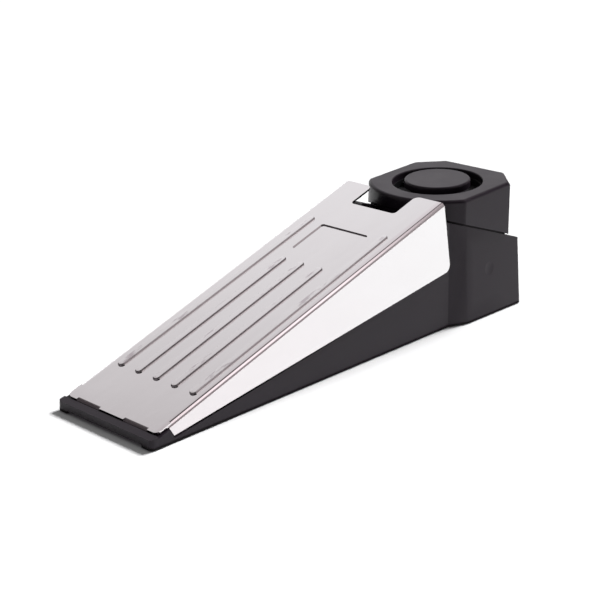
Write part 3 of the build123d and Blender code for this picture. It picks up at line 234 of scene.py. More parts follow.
def lobe(tree, direction, toward, start, end, low, high):
    """Smooth patch of light: grows from low to high as a direction nears a given one."""
    nearness = vectors(tree, "DOT_PRODUCT", direction, Vector(toward).normalized())
    ramp = node(tree, "ShaderNodeMapRange", Value=nearness.outputs["Value"], From_Min=start,
                From_Max=end, To_Min=low, To_Max=high)
    ramp.interpolation_type = "SMOOTHSTEP"
    return ramp.outputs["Result"]


def add_world():
    """White backdrop. Polished faces see a pale wall behind, soft boxes above and a dim room."""
    world = bpy.data.worlds.new("studio")
    bpy.context.scene.world = world
    world.use_nodes = True
    tree = world.node_tree
    tree.nodes.clear()
    direction = node(tree, "ShaderNodeTexCoord").outputs["Generated"]
    wall = lobe(tree, direction, *WALL, 0.0, 1.0)
    mirrored = math(tree, "MULTIPLY_ADD", wall, WALL_LIGHT, ROOM_LIGHT)
    for toward, edge, core, light in STUDIO_PATCHES:
        patch = lobe(tree, direction, toward, edge, core, 0.0, light)
        mirrored = math(tree, "MAXIMUM", mirrored, patch)
    general = lobe(tree, direction, SKY, -1.0, 1.0, *SKY_LIGHT)
    rays = node(tree, "ShaderNodeLightPath").outputs
    strength = mixed(tree, "FLOAT", rays["Is Glossy Ray"], general, mirrored)
    strength = mixed(tree, "FLOAT", rays["Is Camera Ray"], strength, 1.0)
    tint = blend_colours(tree, wall, ROOM_TINT, WALL_TINT)
    seen = mixed(tree, "RGBA", rays["Is Glossy Ray"], (1, 1, 1, 1), tint)
    back = node(tree, "ShaderNodeBackground", Color=seen, Strength=strength)
    node(tree, "ShaderNodeOutputWorld", Surface=back.outputs[0])


def place_lamp(name, data, place, target):
    """Lamp at a place, turned to a target, that no polished face mirrors."""
    lamp = bpy.data.objects.new(name, data)
    aim = (Vector(target) - Vector(place)).to_track_quat("-Z", "Y")
    lamp.matrix_world = Matrix.Translation(place) @ aim.to_matrix().to_4x4()
    lamp.visible_glossy = False
    bpy.context.scene.collection.objects.link(lamp)
    return lamp


def add_lamp(name, place, target, size, power):
    """Square soft box."""
    data = bpy.data.lights.new(name, "AREA")
    data.shape = "SQUARE"
    data.size = size
    data.energy = power
    place_lamp(name, data, place, target).visible_camera = False


def add_sun(name, place, power, angle):
    """Far soft light from a place's direction, the same over the whole floor; angle in degrees."""
    data = bpy.data.lights.new(name, "SUN")
    data.energy = power
    data.angle = radians(angle)
    place_lamp(name, data, place, (0, 0, 0))


def add_floor():
    """Pale matt floor, clear from below and to the lamp under the table."""
    mesh = bpy.data.meshes.new("floor")
    sides = ((-1, -1), (1, -1), (1, 1), (-1, 1))
    corners = [(x * FLOOR_REACH, y * FLOOR_REACH, 0) for x, y in sides]
    mesh.from_pydata(corners, [], [(0, 1, 2, 3)])
    floor = bpy.data.objects.new("floor", mesh)
    bpy.context.scene.collection.objects.link(floor)
    material = bpy.data.materials.new("floor_white")
    material.use_nodes = True
    tree = material.node_tree
    tree.nodes.clear()
    matt = node(tree, "ShaderNodeBsdfDiffuse", Color=FLOOR_COLOUR)
    clear = node(tree, "ShaderNodeBsdfTransparent")
    below = node(tree, "ShaderNodeNewGeometry").outputs["Backfacing"]
    passing = node(tree, "ShaderNodeLightPath").outputs["Is Shadow Ray"]
    both = tree.nodes.new("ShaderNodeMixShader")
    tree.links.new(math(tree, "MAXIMUM", below, passing), both.inputs[0])
    tree.links.new(matt.outputs[0], both.inputs[1])
    tree.links.new(clear.outputs[0], both.inputs[2])
    node(tree, "ShaderNodeOutputMaterial", Surface=both.outputs[0])
    mesh.materials.append(material)


def smooth(obj, angle=20):
    """Rounds the shading of a node's curved faces and keeps its corners crisp."""
    weld = obj.modifiers.new("weld", "WELD")
    weld.merge_threshold = 2e-6
    split = obj.modifiers.new("corners", "EDGE_SPLIT")
    split.split_angle = radians(angle)
    weight = obj.modifiers.new("normals", "WEIGHTED_NORMAL")
    weight.keep_sharp = True
    weight.weight = 100
    for face in obj.data.polygons:
        face.use_smooth = True


def value_group(name, inputs, outputs):
    """Empty node group with float inputs and named outputs; returns (group, given, out)."""
    group = bpy.data.node_groups.new(name, "ShaderNodeTree")
    for label, default in inputs.items():
        socket = group.interface.new_socket(label, in_out="INPUT", socket_type="NodeSocketFloat")
        socket.default_value = default
    for label in outputs:
        group.interface.new_socket(label, in_out="OUTPUT", socket_type="NodeSocketFloat")
    given, out = group.nodes.new("NodeGroupInput"), group.nodes.new("NodeGroupOutput")
    return group, given.outputs, out.inputs


def object_place(tree):
    """Object coordinates."""
    return node(tree, "ShaderNodeTexCoord").outputs["Object"]


def on_slope(group, given):
    """Object coordinates turned so that X runs along the plate."""
    turn = group.nodes.new("ShaderNodeVectorRotate")
    turn.rotation_type = "Y_AXIS"
    group.links.new(object_place(group), turn.inputs["Vector"])
    group.links.new(given["Slope"], turn.inputs["Angle"])
    return turn.outputs[0]


def line_mask(group, given, value, out):
    """Ends a group with a soft-edged line, half a width each side of where a value is Place."""
    away = math(group, "ABSOLUTE", math(group, "SUBTRACT", value, given["Place"]))
    inside = math(group, "SUBTRACT", given["Half Width"], away)
    mask = math(group, "DIVIDE", inside, given["Softness"], clamp=True)
    group.links.new(mask, out["Mask"])


def make_cloud_group():
    """Cloud: soft noise on Object coordinates, drawn out along the part by the stretch."""
    group, given, out = value_group("cloud", {"Scale": 40.0, "Stretch": 1.0}, ("Value",))
    stretch = node(group, "ShaderNodeCombineXYZ", X=given["Stretch"], Y=1.0, Z=1.0)
    scaled = vectors(group, "MULTIPLY", object_place(group), stretch.outputs[0])
    noise = node(group, "ShaderNodeTexNoise", Vector=scaled.outputs[0], Scale=given["Scale"],
                 Detail=5.0, Roughness=0.6)
    group.links.new(noise.outputs["Fac"], out["Value"])
    return group


def make_grain_group():
    """Moulded grain: fine pits of a spark-etched tool as a height."""
    group, given, out = value_group("moulded_grain", {"Scale": 2200.0}, ("Height",))
    noise = node(group, "ShaderNodeTexNoise", Vector=object_place(group), Scale=given["Scale"],
                 Detail=3.0)
    group.links.new(noise.outputs["Fac"], out["Height"])
    return group


def make_streak_group():
    """Rolled streaks: noise drawn out along the plate, broad as a mask and fine as hairlines."""
    group, given, out = value_group(
        "rolled_streaks", {"Slope": 0.0, "Broad": 260.0, "Fine": 3200.0}, ("Streak", "Hairline")
    )
    place = on_slope(group, given)
    for label, scale, drawn, detail in (("Streak", "Broad", 0.09, 3.0),
                                        ("Hairline", "Fine", 0.02, 1.0)):
        long = vectors(group, "MULTIPLY", place, (drawn, 1.0, 1.0))
        noise = node(group, "ShaderNodeTexNoise", Vector=long.outputs[0], Scale=given[scale],
                     Detail=detail)
        group.links.new(noise.outputs["Fac"], out[label])
    return group


def make_band_group():
    """Band: a soft-edged stripe along one axis of Object coordinates, as a mask."""
    group, given, out = value_group(
        "band", {"Axis X": 0.0, "Axis Y": 0.0, "Axis Z": 1.0, "Place": 0.0, "Half Width": 0.001,
                 "Softness": 0.0001}, ("Mask",)
    )
    axis = node(group, "ShaderNodeCombineXYZ", X=given["Axis X"], Y=given["Axis Y"],
                Z=given["Axis Z"])
    along_axis = vectors(group, "DOT_PRODUCT", object_place(group), axis.outputs[0])
    line_mask(group, given, along_axis.outputs["Value"], out)
    return group


def make_bead_group():
    """Bead edge: a line at a set distance from a bead's middle line on the plate, as a mask."""
    group, given, out = value_group(
        "bead_edge", {"Slope": 0.0, "Start": 0.0, "End": 0.1, "Row": 0.0, "Place": 0.001,
                      "Half Width": 0.0002, "Softness": 0.0001}, ("Mask",)
    )
    parts = node(group, "ShaderNodeSeparateXYZ", Vector=on_slope(group, given)).outputs
    half = math(group, "MULTIPLY", math(group, "SUBTRACT", given["End"], given["Start"]), 0.5)
    middle = math(group, "ADD", given["Start"], half)
    ahead = math(group, "ABSOLUTE", math(group, "SUBTRACT", parts["X"], middle))
    beyond = math(group, "MAXIMUM", math(group, "SUBTRACT", ahead, half), 0.0)
    aside = math(group, "SUBTRACT", parts["Y"], given["Row"])
    squares = math(group, "ADD", math(group, "MULTIPLY", beyond, beyond),
                   math(group, "MULTIPLY", aside, aside))
    line_mask(group, given, math(group, "SQRT", squares), out)
    return group


def make_dimple_group():
    """Dimple: a round hollow about a point of Object coordinates, as a height."""
    group, given, out = value_group(
        "dimple", {"X": 0.0, "Y": 0.0, "Z": 0.0, "Radius": 0.001}, ("Height",)
    )
    centre = node(group, "ShaderNodeCombineXYZ", X=given["X"], Y=given["Y"], Z=given["Z"])
    away = vectors(group, "DISTANCE", object_place(group), centre.outputs[0])
    share = math(group, "DIVIDE", away.outputs["Value"], given["Radius"], clamp=True)
    group.links.new(math(group, "MULTIPLY", share, share), out["Height"])
    return group


CLOUD = make_cloud_group()
GRAIN = make_grain_group()
STREAKS = make_streak_group()
BAND = make_band_group()
BEAD_EDGE = make_bead_group()
DIMPLE = make_dimple_group()


def use_group(tree, group, **inputs):
    """Outputs of a shared group placed in a material with its own values."""
    made = tree.nodes.new("ShaderNodeGroup")
    made.node_tree = group
    for name, value in inputs.items():
        made.inputs[name.replace("_", " ")].default_value = value
    return made.outputs


def clouds(tree, scale, stretch):
    """Cloud's value at a scale and stretch."""
    return use_group(tree, CLOUD, Scale=scale, Stretch=stretch)["Value"]


def band(tree, axis, place, half_width, softness=0.00005):
    """Mask of a stripe square to an axis."""
    return use_group(tree, BAND, Axis_X=axis[0], Axis_Y=axis[1], Axis_Z=axis[2], Place=place,
                     Half_Width=half_width, Softness=softness)["Mask"]


def bead_line(tree, start, end, row, place, half_width, softness):
    """Mask of a line round one bead."""
    return use_group(tree, BEAD_EDGE, Slope=SLOPE, Start=start, End=end, Row=row, Place=place,
                     Half_Width=half_width, Softness=softness)["Mask"]


def facing(tree, direction, start, end):
    """Mask that grows as a surface turns towards a direction, from its own normal."""
    normal = node(tree, "ShaderNodeTexCoord").outputs["Normal"]
    return lobe(tree, normal, direction, start, end, 0.0, 1.0)


def bare_material(name, metal=0.0, coat=0.0, shine=0.5):
    """New material with its shader's plain values set; returns (material, tree, shader)."""
    material = bpy.data.materials.new(name)
    material.use_nodes = True
    tree = material.node_tree
    shader = tree.nodes["Principled BSDF"]
    shader.inputs["Metallic"].default_value = metal
    shader.inputs["Coat Weight"].default_value = coat
    shader.inputs["Specular IOR Level"].default_value = shine
    return material, tree, shader


def colour_and_rough(tree, shader, mask, low, high, rough):
    """Gives a shader its colour between two, and its roughness as spread maps the same mask."""
    tree.links.new(blend_colours(tree, mask, low, high), shader.inputs["Base Color"])
    tree.links.new(spread(tree, mask, *rough), shader.inputs["Roughness"])


def add_height(tree, shader, height, distance):
    """Bumps a shader by a height source, over what bumps it already."""
    bump = node(tree, "ShaderNodeBump", Strength=1.0, Distance=distance, Height=height)
    if shader.inputs["Normal"].is_linked:
        tree.links.new(shader.inputs["Normal"].links[0].from_socket, bump.inputs["Normal"])
    tree.links.new(bump.outputs["Normal"], shader.inputs["Normal"])


def lay_over(tree, shader, mask, colour, rough=None, metal=None):
    """Lays a second colour, roughness or metal over a shader's own, where a mask is one."""
    for label, value in (("Base Color", (*colour, 1)), ("Roughness", rough), ("Metallic", metal)):
        if value is None:
            continue
        target = shader.inputs[label]
        under = target.links[0].from_socket if target.is_linked else target.default_value
        kind = "RGBA" if label == "Base Color" else "FLOAT"
        tree.links.new(mixed(tree, kind, mask, under, value), target)


def finish_material(name, low, high, rough, cloud=(60.0, 1.0), grain=0.0, **plain):
    """Finish with a clouded colour and roughness, and an optional moulded grain."""
    material, tree, shader = bare_material(name, **plain)
    colour_and_rough(tree, shader, clouds(tree, *cloud), low, high, rough)
    if grain:
        add_height(tree, shader, use_group(tree, GRAIN)["Height"], grain)
    return material, tree, shader


def make_case_plastic():
    """Black moulding: fine etched grain, faint clouds, sink marks, painted shade in the seam, and a
    dark foot band that is partly the sole's dark edge and partly painted contact shade.
    """
    material, tree, shader = finish_material(
        "case_plastic", (0.0150, 0.0110, 0.0155), (0.0200, 0.0150, 0.0210), (0.33, 0.43),
        (55.0, 1.0), grain=0.000008, shine=0.20,
    )
    for x, y, z in SINK_MARKS:
        mark = use_group(tree, DIMPLE, X=x, Y=y, Z=z, Radius=SINK_RADIUS)
        add_height(tree, shader, mark["Height"], SINK_DEPTH)
    # Painted shade in the seam under the tower; the dark foot band is partly the sole's dark edge
    # and partly painted contact shade
    seam = band(tree, (sin(SLOPE), 0, cos(SLOPE)), *SEAM_PAINTED_SHADE)
    foot = band(tree, (0, 0, 1), *FOOT_EDGE_AND_SHADE)
    lay_over(tree, shader, math(tree, "MAXIMUM", seam, foot), SHADE_LINE_BLACK, 0.85)
    return material


def make_plate_steel():
    """Polished sheet: bright, streaked by rolling, with painted dark reflections round the beads,
    over them in dashes, on the near fold's rear part and on pressed faces looking down the slope.
    """
    material, tree, shader = bare_material("plate_steel", metal=1.0)
    tone = clouds(tree, 70.0, 0.4)
    dash_cloud = clouds(tree, 420.0, 0.12)
    streaks = use_group(tree, STREAKS, Slope=SLOPE)
    tree.links.new(blend_colours(tree, tone, (0.835, 0.820, 0.822), (0.895, 0.885, 0.89)),
                   shader.inputs["Base Color"])
    tree.links.new(spread(tree, streaks["Streak"], 0.08, 0.15, 0.35, 0.75),
                   shader.inputs["Roughness"])
    # Painted dark reflections in a line round each bead's edge, and painted dark dashes of
    # reflection over each bead
    edges = bead_dash_reflections = 0.0
    for start, end, row, darkness in BEADS:
        edge = bead_line(tree, start, end, row, *BEAD_EDGE_REFLECTION)
        edges = math(tree, "MAXIMUM", edges, math(tree, "MULTIPLY", edge, darkness))
        bead_dash_reflections = math(tree, "MAXIMUM", bead_dash_reflections, bead_line(tree, start, end, row, *BEAD_DASH_REFLECTION))
    # The painted dashes of reflection are broken up by a fine cloud
    patchy = spread(tree, dash_cloud, 0.0, 1.0, 0.56, 0.66)
    dash_reflection = math(tree, "MULTIPLY", math(tree, "MULTIPLY", bead_dash_reflections, patchy), 0.5)
    lay_over(tree, shader, dash_reflection, (0.36, 0.29, 0.33))
    stripe = band(tree, (0, 1, 0), *NEAR_STRIPE)
    lay_over(tree, shader, math(tree, "MULTIPLY", stripe, 0.35), (0.70, 0.61, 0.64))
    # Painted dark reflection on the rear part of the near fold
    fold = math(tree, "MULTIPLY", facing(tree, *FOLD), band(tree, (1, 0, 0), *FOLD_REAR_REFLECTION))
    lay_over(tree, shader, math(tree, "MULTIPLY", fold, 0.85), (0.10, 0.085, 0.095), 0.3)
    # Painted dark reflection on pressed faces that look down the slope, between the flanges, laid
    # with the bead lines
    pressed = math(tree, "MULTIPLY", facing(tree, *DOWN_SLOPE_REFLECTION),
                   band(tree, (0, 1, 0), *BETWEEN_FLANGES))
    edges = math(tree, "MAXIMUM", edges, math(tree, "MULTIPLY", pressed, 0.92))
    lay_over(tree, shader, edges, (0.075, 0.062, 0.070), 0.35)
    add_height(tree, shader, streaks["Hairline"], 0.0000012)
    add_height(tree, shader, tone, 0.00004)
    return material


def make_sole_rubber():
    """Rubber: matt and dusty, with fine tread lines across the sole."""
    material, tree, shader = finish_material(
        "sole_rubber", (0.010, 0.010, 0.010), (0.024, 0.023, 0.023), (0.72, 0.92),
        grain=0.00004, shine=0.3,
    )
    lines = node(tree, "ShaderNodeTexWave", Vector=object_place(tree), Scale=170.0)
    lines.bands_direction = "X"
    lines.wave_profile = "TRI"
    add_height(tree, shader, lines.outputs["Fac"], 0.0003)
    return material


def make_gasket_foam():
    """Foam: open cells as pits, with painted shade darkening their bottoms and paler walls."""
    material, tree, shader = bare_material("gasket_foam", shine=0.2)
    cells = node(tree, "ShaderNodeTexVoronoi", Vector=object_place(tree), Scale=2600.0)
    depth = cells.outputs["Distance"]
    # Painted shade: the colour is darker towards the bottom of each pit
    colour_and_rough(tree, shader, depth, (0.008, 0.008, 0.009), (0.05, 0.05, 0.052),
                     (0.85, 1.0, 0.0, 0.8))
    add_height(tree, shader, depth, 0.0002)
    return material


def make_board_green():
    """Board: green solder mask over laid copper, bare glass at its cut edges."""
    material, tree, shader = bare_material("board_green", coat=0.4)
    colour_and_rough(tree, shader, clouds(tree, 900.0, 1.0), (0.010, 0.085, 0.030),
                     (0.020, 0.130, 0.050), (0.30, 0.45))
    lay_over(tree, shader, band(tree, (1, 0, 0), *BOARD_EDGE), (0.30, 0.27, 0.12), 0.7)
    return material


def make_resistor_body():
    """Resistor: lacquered body with four value bands round it."""
    material, tree, shader = finish_material(
        "resistor_body", (0.50, 0.36, 0.20), (0.60, 0.45, 0.27), (0.3, 0.42), (300.0, 1.0),
        coat=0.3,
    )
    for share, colour in ((-0.6, (0.18, 0.07, 0.03)), (-0.2, (0.01, 0.01, 0.01)),
                          (0.2, (0.50, 0.03, 0.02)), (0.6, (0.55, 0.36, 0.08))):
        place = RESISTOR_MIDDLE + share * RESISTOR_REACH
        lay_over(tree, shader, band(tree, (0, 0, 1), place, RESISTOR_STRIPE), colour)
    return material


def make_lead_vinyl():
    """Vinyl sleeves in pairs: red on the positive lead, black on the other."""
    material, tree, shader = finish_material(
        "lead_vinyl", (0.36, 0.012, 0.010), (0.46, 0.022, 0.018), (0.28, 0.4), (160.0, 1.0),
        coat=0.2,
    )
    for place, half in BLACK_LEADS:
        lay_over(tree, shader, band(tree, (0, 1, 0), place, half), (0.012, 0.012, 0.013))
    return material


def make_battery_can():
    """Battery jacket: plain dark steel sleeve, bare crimped ends."""
    material, tree, shader = finish_material(
        "battery_can", (0.045, 0.047, 0.052), (0.065, 0.067, 0.073), (0.3, 0.4), (90.0, 0.3),
        coat=0.25,
    )
    middle, half = BATTERY_SPAN
    sleeve = band(tree, (1, 0, 0), middle, half - BATTERY_RIM, 0.0001)
    ends = math(tree, "SUBTRACT", 1.0, sleeve)
    lay_over(tree, shader, ends, (0.52, 0.50, 0.47), 0.34, 1.0)
    return material


def make_capacitor_sleeve():
    """Capacitor sleeve: deep blue shrink film with a pale stripe down the negative side."""
    material, tree, shader = finish_material(
        "capacitor_sleeve", (0.010, 0.018, 0.075), (0.016, 0.028, 0.11), (0.2, 0.3),
        (200.0, 1.0), coat=0.5,
    )
    for y in CAPACITOR_PLACES:
        stripe = band(tree, (0, 1, 0), y, 0.0006)
        upper = band(tree, (0, 0, 1), CAPACITOR_LEVEL + 0.003, 0.002)
        lay_over(tree, shader, math(tree, "MULTIPLY", stripe, upper), (0.55, 0.57, 0.60))
    return material


# Plain finishes: two colours, the range of roughness, the cloud's scale and stretch, and the rest
PLAIN_FINISHES = {
    "screw_steel": ((0.50, 0.50, 0.49), (0.66, 0.66, 0.65), (0.2, 0.36), (500.0, 1.0),
                    {"metal": 1.0}),
    "siren_plastic": ((0.008, 0.008, 0.009), (0.014, 0.014, 0.015), (0.5, 0.62), (120.0, 1.0),
                      {"grain": 0.00002, "shine": 0.3}),
    "piezo_brass": ((0.68, 0.47, 0.19), (0.80, 0.60, 0.30), (0.2, 0.36), (240.0, 0.2),
                    {"metal": 1.0}),
    "piezo_ceramic": ((0.62, 0.60, 0.55), (0.75, 0.73, 0.68), (0.5, 0.7), (500.0, 1.0),
                      {"grain": 0.00001}),
    "acetal": ((0.66, 0.65, 0.60), (0.74, 0.73, 0.69), (0.32, 0.42), (200.0, 1.0),
               {"grain": 0.00001}),
    "spring_steel": ((0.45, 0.44, 0.43), (0.62, 0.61, 0.60), (0.22, 0.36), (700.0, 1.0),
                     {"metal": 1.0}),
    "switch_plastic": ((0.018, 0.018, 0.019), (0.028, 0.028, 0.03), (0.4, 0.5), (200.0, 1.0),
                       {"grain": 0.00002}),
    "lever_steel": ((0.56, 0.55, 0.54), (0.68, 0.67, 0.66), (0.2, 0.34), (600.0, 0.1),
                    {"metal": 1.0}),
    "button_red": ((0.40, 0.020, 0.015), (0.50, 0.030, 0.022), (0.2, 0.3), (300.0, 1.0),
                   {"coat": 0.3}),
    "chip_epoxy": ((0.012, 0.012, 0.013), (0.020, 0.020, 0.021), (0.5, 0.62), (300.0, 1.0),
                   {"grain": 0.00002}),
    "coil_ferrite": ((0.022, 0.020, 0.019), (0.06, 0.055, 0.052), (0.55, 0.8), (400.0, 1.0),
                     {"grain": 0.00003}),
    "switch_metal": ((0.50, 0.50, 0.49), (0.62, 0.62, 0.61), (0.26, 0.4), (400.0, 0.2),
                     {"metal": 1.0}),
    "terminal_plate": ((0.60, 0.58, 0.53), (0.72, 0.70, 0.65), (0.16, 0.28), (500.0, 1.0),
                       {"metal": 1.0}),
    "clip_plastic": ((0.014, 0.014, 0.015), (0.024, 0.024, 0.025), (0.42, 0.55), (160.0, 1.0),
                     {"grain": 0.00003}),
    "copper_wire": ((0.52, 0.17, 0.07), (0.66, 0.26, 0.12), (0.18, 0.3), (900.0, 1.0),
                    {"metal": 1.0, "coat": 0.4}),
    "solder": ((0.58, 0.58, 0.58), (0.72, 0.72, 0.72), (0.18, 0.34), (900.0, 1.0),
               {"metal": 1.0}),
    "capacitor_lid": ((0.62, 0.62, 0.63), (0.74, 0.74, 0.75), (0.24, 0.36), (500.0, 0.2),
                      {"metal": 1.0}),
    "track_copper": ((0.022, 0.16, 0.06), (0.03, 0.20, 0.08), (0.26, 0.36), (500.0, 1.0),
                     {"coat": 0.4}),
}
FINISHES = {
    name: finish_material(name, low, high, rough, cloud, **rest)[0]
    for name, (low, high, rough, cloud, rest) in PLAIN_FINISHES.items()
}
FINISHES.update(
    case_plastic=make_case_plastic(),
    plate_steel=make_plate_steel(),
    sole_rubber=make_sole_rubber(),
    gasket_foam=make_gasket_foam(),
    board_green=make_board_green(),
    capacitor_sleeve=make_capacitor_sleeve(),
    resistor_body=make_resistor_body(),
    battery_can=make_battery_can(),
    lead_vinyl=make_lead_vinyl(),
)


def grid_faces(rows, columns, closed=True):
    """Quads of a grid of points, row after row; closed joins the last column to the first."""
    row = np.arange(rows - 1)[:, None] * columns
    column = np.arange(columns if closed else columns - 1)[None, :]
    after = (column + 1) % columns
    corners = (row + column, row + after, row + columns + after, row + columns + column)
    return np.stack(corners, -1).reshape(-1, 4)


def outward(points, faces):
    """Faces turned outwards: reversed where fans from first corners enclose a minus volume."""
    fans = np.array([
        (face[0], near, far) for face in faces for near, far in zip(face[1:], face[2:])
    ])
    corner = points[fans]
    volume = (corner[:, 0] * np.cross(corner[:, 1], corner[:, 2])).sum()
    return faces if volume > 0 else [face[::-1] for face in faces]


def make_piece(name, parts, body, finish, angle=30):
    """Mesh of one or more (points, faces) surfaces, put on a body with its slot and finish."""
    points, faces, offset = [], [], 0
    for part_points, part_faces in parts:
        points.append(part_points)
        faces += [[int(i) + offset for i in face] for face in outward(part_points, part_faces)]
        offset += len(part_points)
    mesh = bpy.data.meshes.new(name)
    mesh.from_pydata(np.concatenate(points).tolist(), [], faces)
    mesh.update()
    mesh.materials.append(FINISHES[finish])
    piece = bpy.data.objects.new(name, mesh)
    bpy.context.scene.collection.objects.link(piece)
    split = piece.modifiers.new("corners", "EDGE_SPLIT")
    split.split_angle = radians(angle)
    for face in mesh.polygons:
        face.use_smooth = True
    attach(piece, body)
    return piece


def tube(path, radius, sides=12, level=(0.0, 0.0, 1.0)):
    """Round tube: at each point of a path a ring of cos and sin about the path's own direction."""
    ahead = np.gradient(path, axis=0)
    ahead /= np.linalg.norm(ahead, axis=1, keepdims=True)
    across = np.cross(ahead, np.array(level))
    across /= np.linalg.norm(across, axis=1, keepdims=True)
    above = np.cross(across, ahead)
    turn = np.linspace(0, 2 * np.pi, sides, endpoint=False)[None, :, None]
    spokes = np.cos(turn) * across[:, None] + np.sin(turn) * above[:, None]
    rings = path[:, None] + radius * spokes
    faces = grid_faces(len(path), sides).tolist()
    last = (len(path) - 1) * sides
    faces += [list(range(sides))[::-1], list(range(last, last + sides))]
    return rings.reshape(-1, 3), [face[::-1] for face in faces]


def ring_tube(path, radius, sides=8, level=(1.0, 0.0, 0.0)):
    """Round tube along a closed path, square to a level axis."""
    ahead = np.roll(path, -1, 0) - np.roll(path, 1, 0)
    ahead /= np.linalg.norm(ahead, axis=1, keepdims=True)
    across = np.cross(ahead, np.array(level))
    turn = np.linspace(0, 2 * np.pi, sides, endpoint=False)[None, :, None]
    spokes = np.cos(turn) * across[:, None] + np.sin(turn) * np.array(level)
    rings = path[:, None] + radius * spokes
    count = len(path) * sides
    faces = grid_faces(len(path) + 1, sides) % count
    return rings.reshape(-1, 3), faces.tolist()


def turned(profile, centre, axis, side, steps=40):
    """Turned form: (radius, height) profile spun about an axis from a centre, ends on the axis."""
    axis, side, centre = np.array(axis, float), np.array(side, float), np.array(centre)
    other = np.cross(axis, side)
    turn = np.linspace(0, 2 * np.pi, steps, endpoint=False)
    spoke = np.cos(turn)[:, None] * side + np.sin(turn)[:, None] * other
    radius, height = np.array(profile, float).T
    rings = centre + height[1:-1, None, None] * axis + radius[1:-1, None, None] * spoke
    ends = [centre + height[0] * axis], [centre + height[-1] * axis]
    points = np.concatenate([rings.reshape(-1, 3), *ends])
    count = len(profile) - 2
    faces = grid_faces(count, steps).tolist()
    first, last, top = count * steps, count * steps + 1, (count - 1) * steps
    around = np.arange(steps)
    after = (around + 1) % steps
    faces += np.stack([np.full(steps, first), after, around], -1).tolist()
    faces += np.stack([np.full(steps, last), top + around, top + after], -1).tolist()
    return points, faces


def block(low, high):
    """Box between two corners: each point takes its X, Y and Z from the low or the high one."""
    low, high = np.array(low, float), np.array(high, float)
    pick_high = np.array([[x, y, z] for z in (0, 1) for y in (0, 1) for x in (0, 1)])
    faces = [(0, 2, 3, 1), (4, 5, 7, 6), (0, 1, 5, 4), (2, 6, 7, 3), (0, 4, 6, 2), (1, 3, 7, 5)]
    return np.where(pick_high == 1, high, low), [list(face) for face in faces]


def eased(corners, rounds=3):
    """Smooth path: corners cut by quarters, again and again."""
    path = np.array(corners, float)
    for _ in range(rounds):
        near, far = path[:-1] * 0.75 + path[1:] * 0.25, path[:-1] * 0.25 + path[1:] * 0.75
        cut = np.stack([near, far], 1).reshape(-1, 3)
        path = np.concatenate([path[:1], cut, path[-1:]])
    return path


def rounded_rectangle(centre, half_y, half_z, corner, steps=10):
    """Closed path square to X: four quarter arcs joined by straight runs."""
    turn = np.linspace(0, np.pi / 2, steps)
    quarters = np.concatenate([turn + k * np.pi / 2 for k in range(4)])
    signs = np.repeat([(1, 1), (-1, 1), (-1, -1), (1, -1)], steps, 0)
    y = signs[:, 0] * (half_y - corner) + corner * np.cos(quarters)
    z = signs[:, 1] * (half_z - corner) + corner * np.sin(quarters)
    return np.stack([np.full(y.size, centre[0]), centre[1] + y, centre[2] + z], -1)


def round_bar(start, end, radius):
    """Round bar with ball ends: a side with a quarter circle at each end, spun about its line."""
    start, end = np.array(start, float), np.array(end, float)
    length = np.linalg.norm(end - start)
    ahead = (end - start) / length
    lean = np.linspace(0, np.pi / 2, 5)
    near = np.stack([np.sin(lean), -np.cos(lean)], -1) * radius
    far = np.stack([np.cos(lean), np.sin(lean)], -1) * radius + (0, length)
    return turned(np.concatenate([near, far]), start, ahead, np.cross(ahead, (0, 0, 1.0)), 10)


def on_plate(points):
    """Points of the plate's own frame, length, width and height in metres, put into the model."""
    along_slope = np.array([cos(SLOPE), 0, sin(SLOPE)])
    square = np.array([-sin(SLOPE), 0, cos(SLOPE)])
    points = np.asarray(points, float)
    return (np.array(PLATE_ORIGIN) + points[:, :1] * along_slope
            + points[:, 1:2] * np.array([0, 1, 0]) + points[:, 2:] * square)


def add_return_spring():
    """Spring: a helix whose rise eases in and out, so that its end turns lie closed."""
    place, radius, wire, turns = 0.057, 0.0026, 0.0002, 6
    share = np.linspace(0, 1, 260)
    turn = 2 * np.pi * turns * share
    rise = np.clip((share - 0.13) / 0.74, 0, 1)
    height = -0.0066 + 0.0003 * share + 0.0051 * rise
    path = np.stack([place + radius * np.cos(turn), radius * np.sin(turn), height], -1)
    square = (-sin(SLOPE), 0, cos(SLOPE))
    spring = make_piece("return_spring_coil", [tube(on_plate(path), wire, 12, square)], "case",
                        "spring_steel", 60)
    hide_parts("return_spring")
    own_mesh(spring)


def add_coil_winding():
    """Winding: one helix of enamelled wire between the former's flanges."""
    turns, flange, wire = 15, 0.00098, 0.00017
    low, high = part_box("driver_coil")
    centre = MIDDLE["driver_coil"]
    radius = HALF["driver_coil"].y - 0.0008 + 0.00012
    turn = np.linspace(0, 2 * np.pi * turns, turns * 28)
    x = np.linspace(low.x + flange, high.x - flange, turn.size)
    path = np.stack([x, centre.y + radius * np.cos(turn), centre.z + radius * np.sin(turn)], -1)
    make_piece("coil_winding", [tube(path, wire, 8, (1.0, 0, 0))], "case",
               "copper_wire", 60)


def add_capacitor_lids():
    """Lids: a shallow dish with a rolled rim, spun, and let into the ends of the sleeves."""
    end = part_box("capacitors")[0].x
    profile = [(0, 0.00003), (0.0013, 0.00003), (0.00155, 0.00012), (0.0018, 0.00014),
               (0.0019, 0.00004), (0.0019, -0.0001), (0, -0.0001)]
    parts = [
        turned(profile, (end, y, CAPACITOR_LEVEL), (-1, 0, 0), (0, 1, 0))
        for y in CAPACITOR_PLACES
    ]
    make_piece("capacitor_lids", parts, "case", "capacitor_lid")


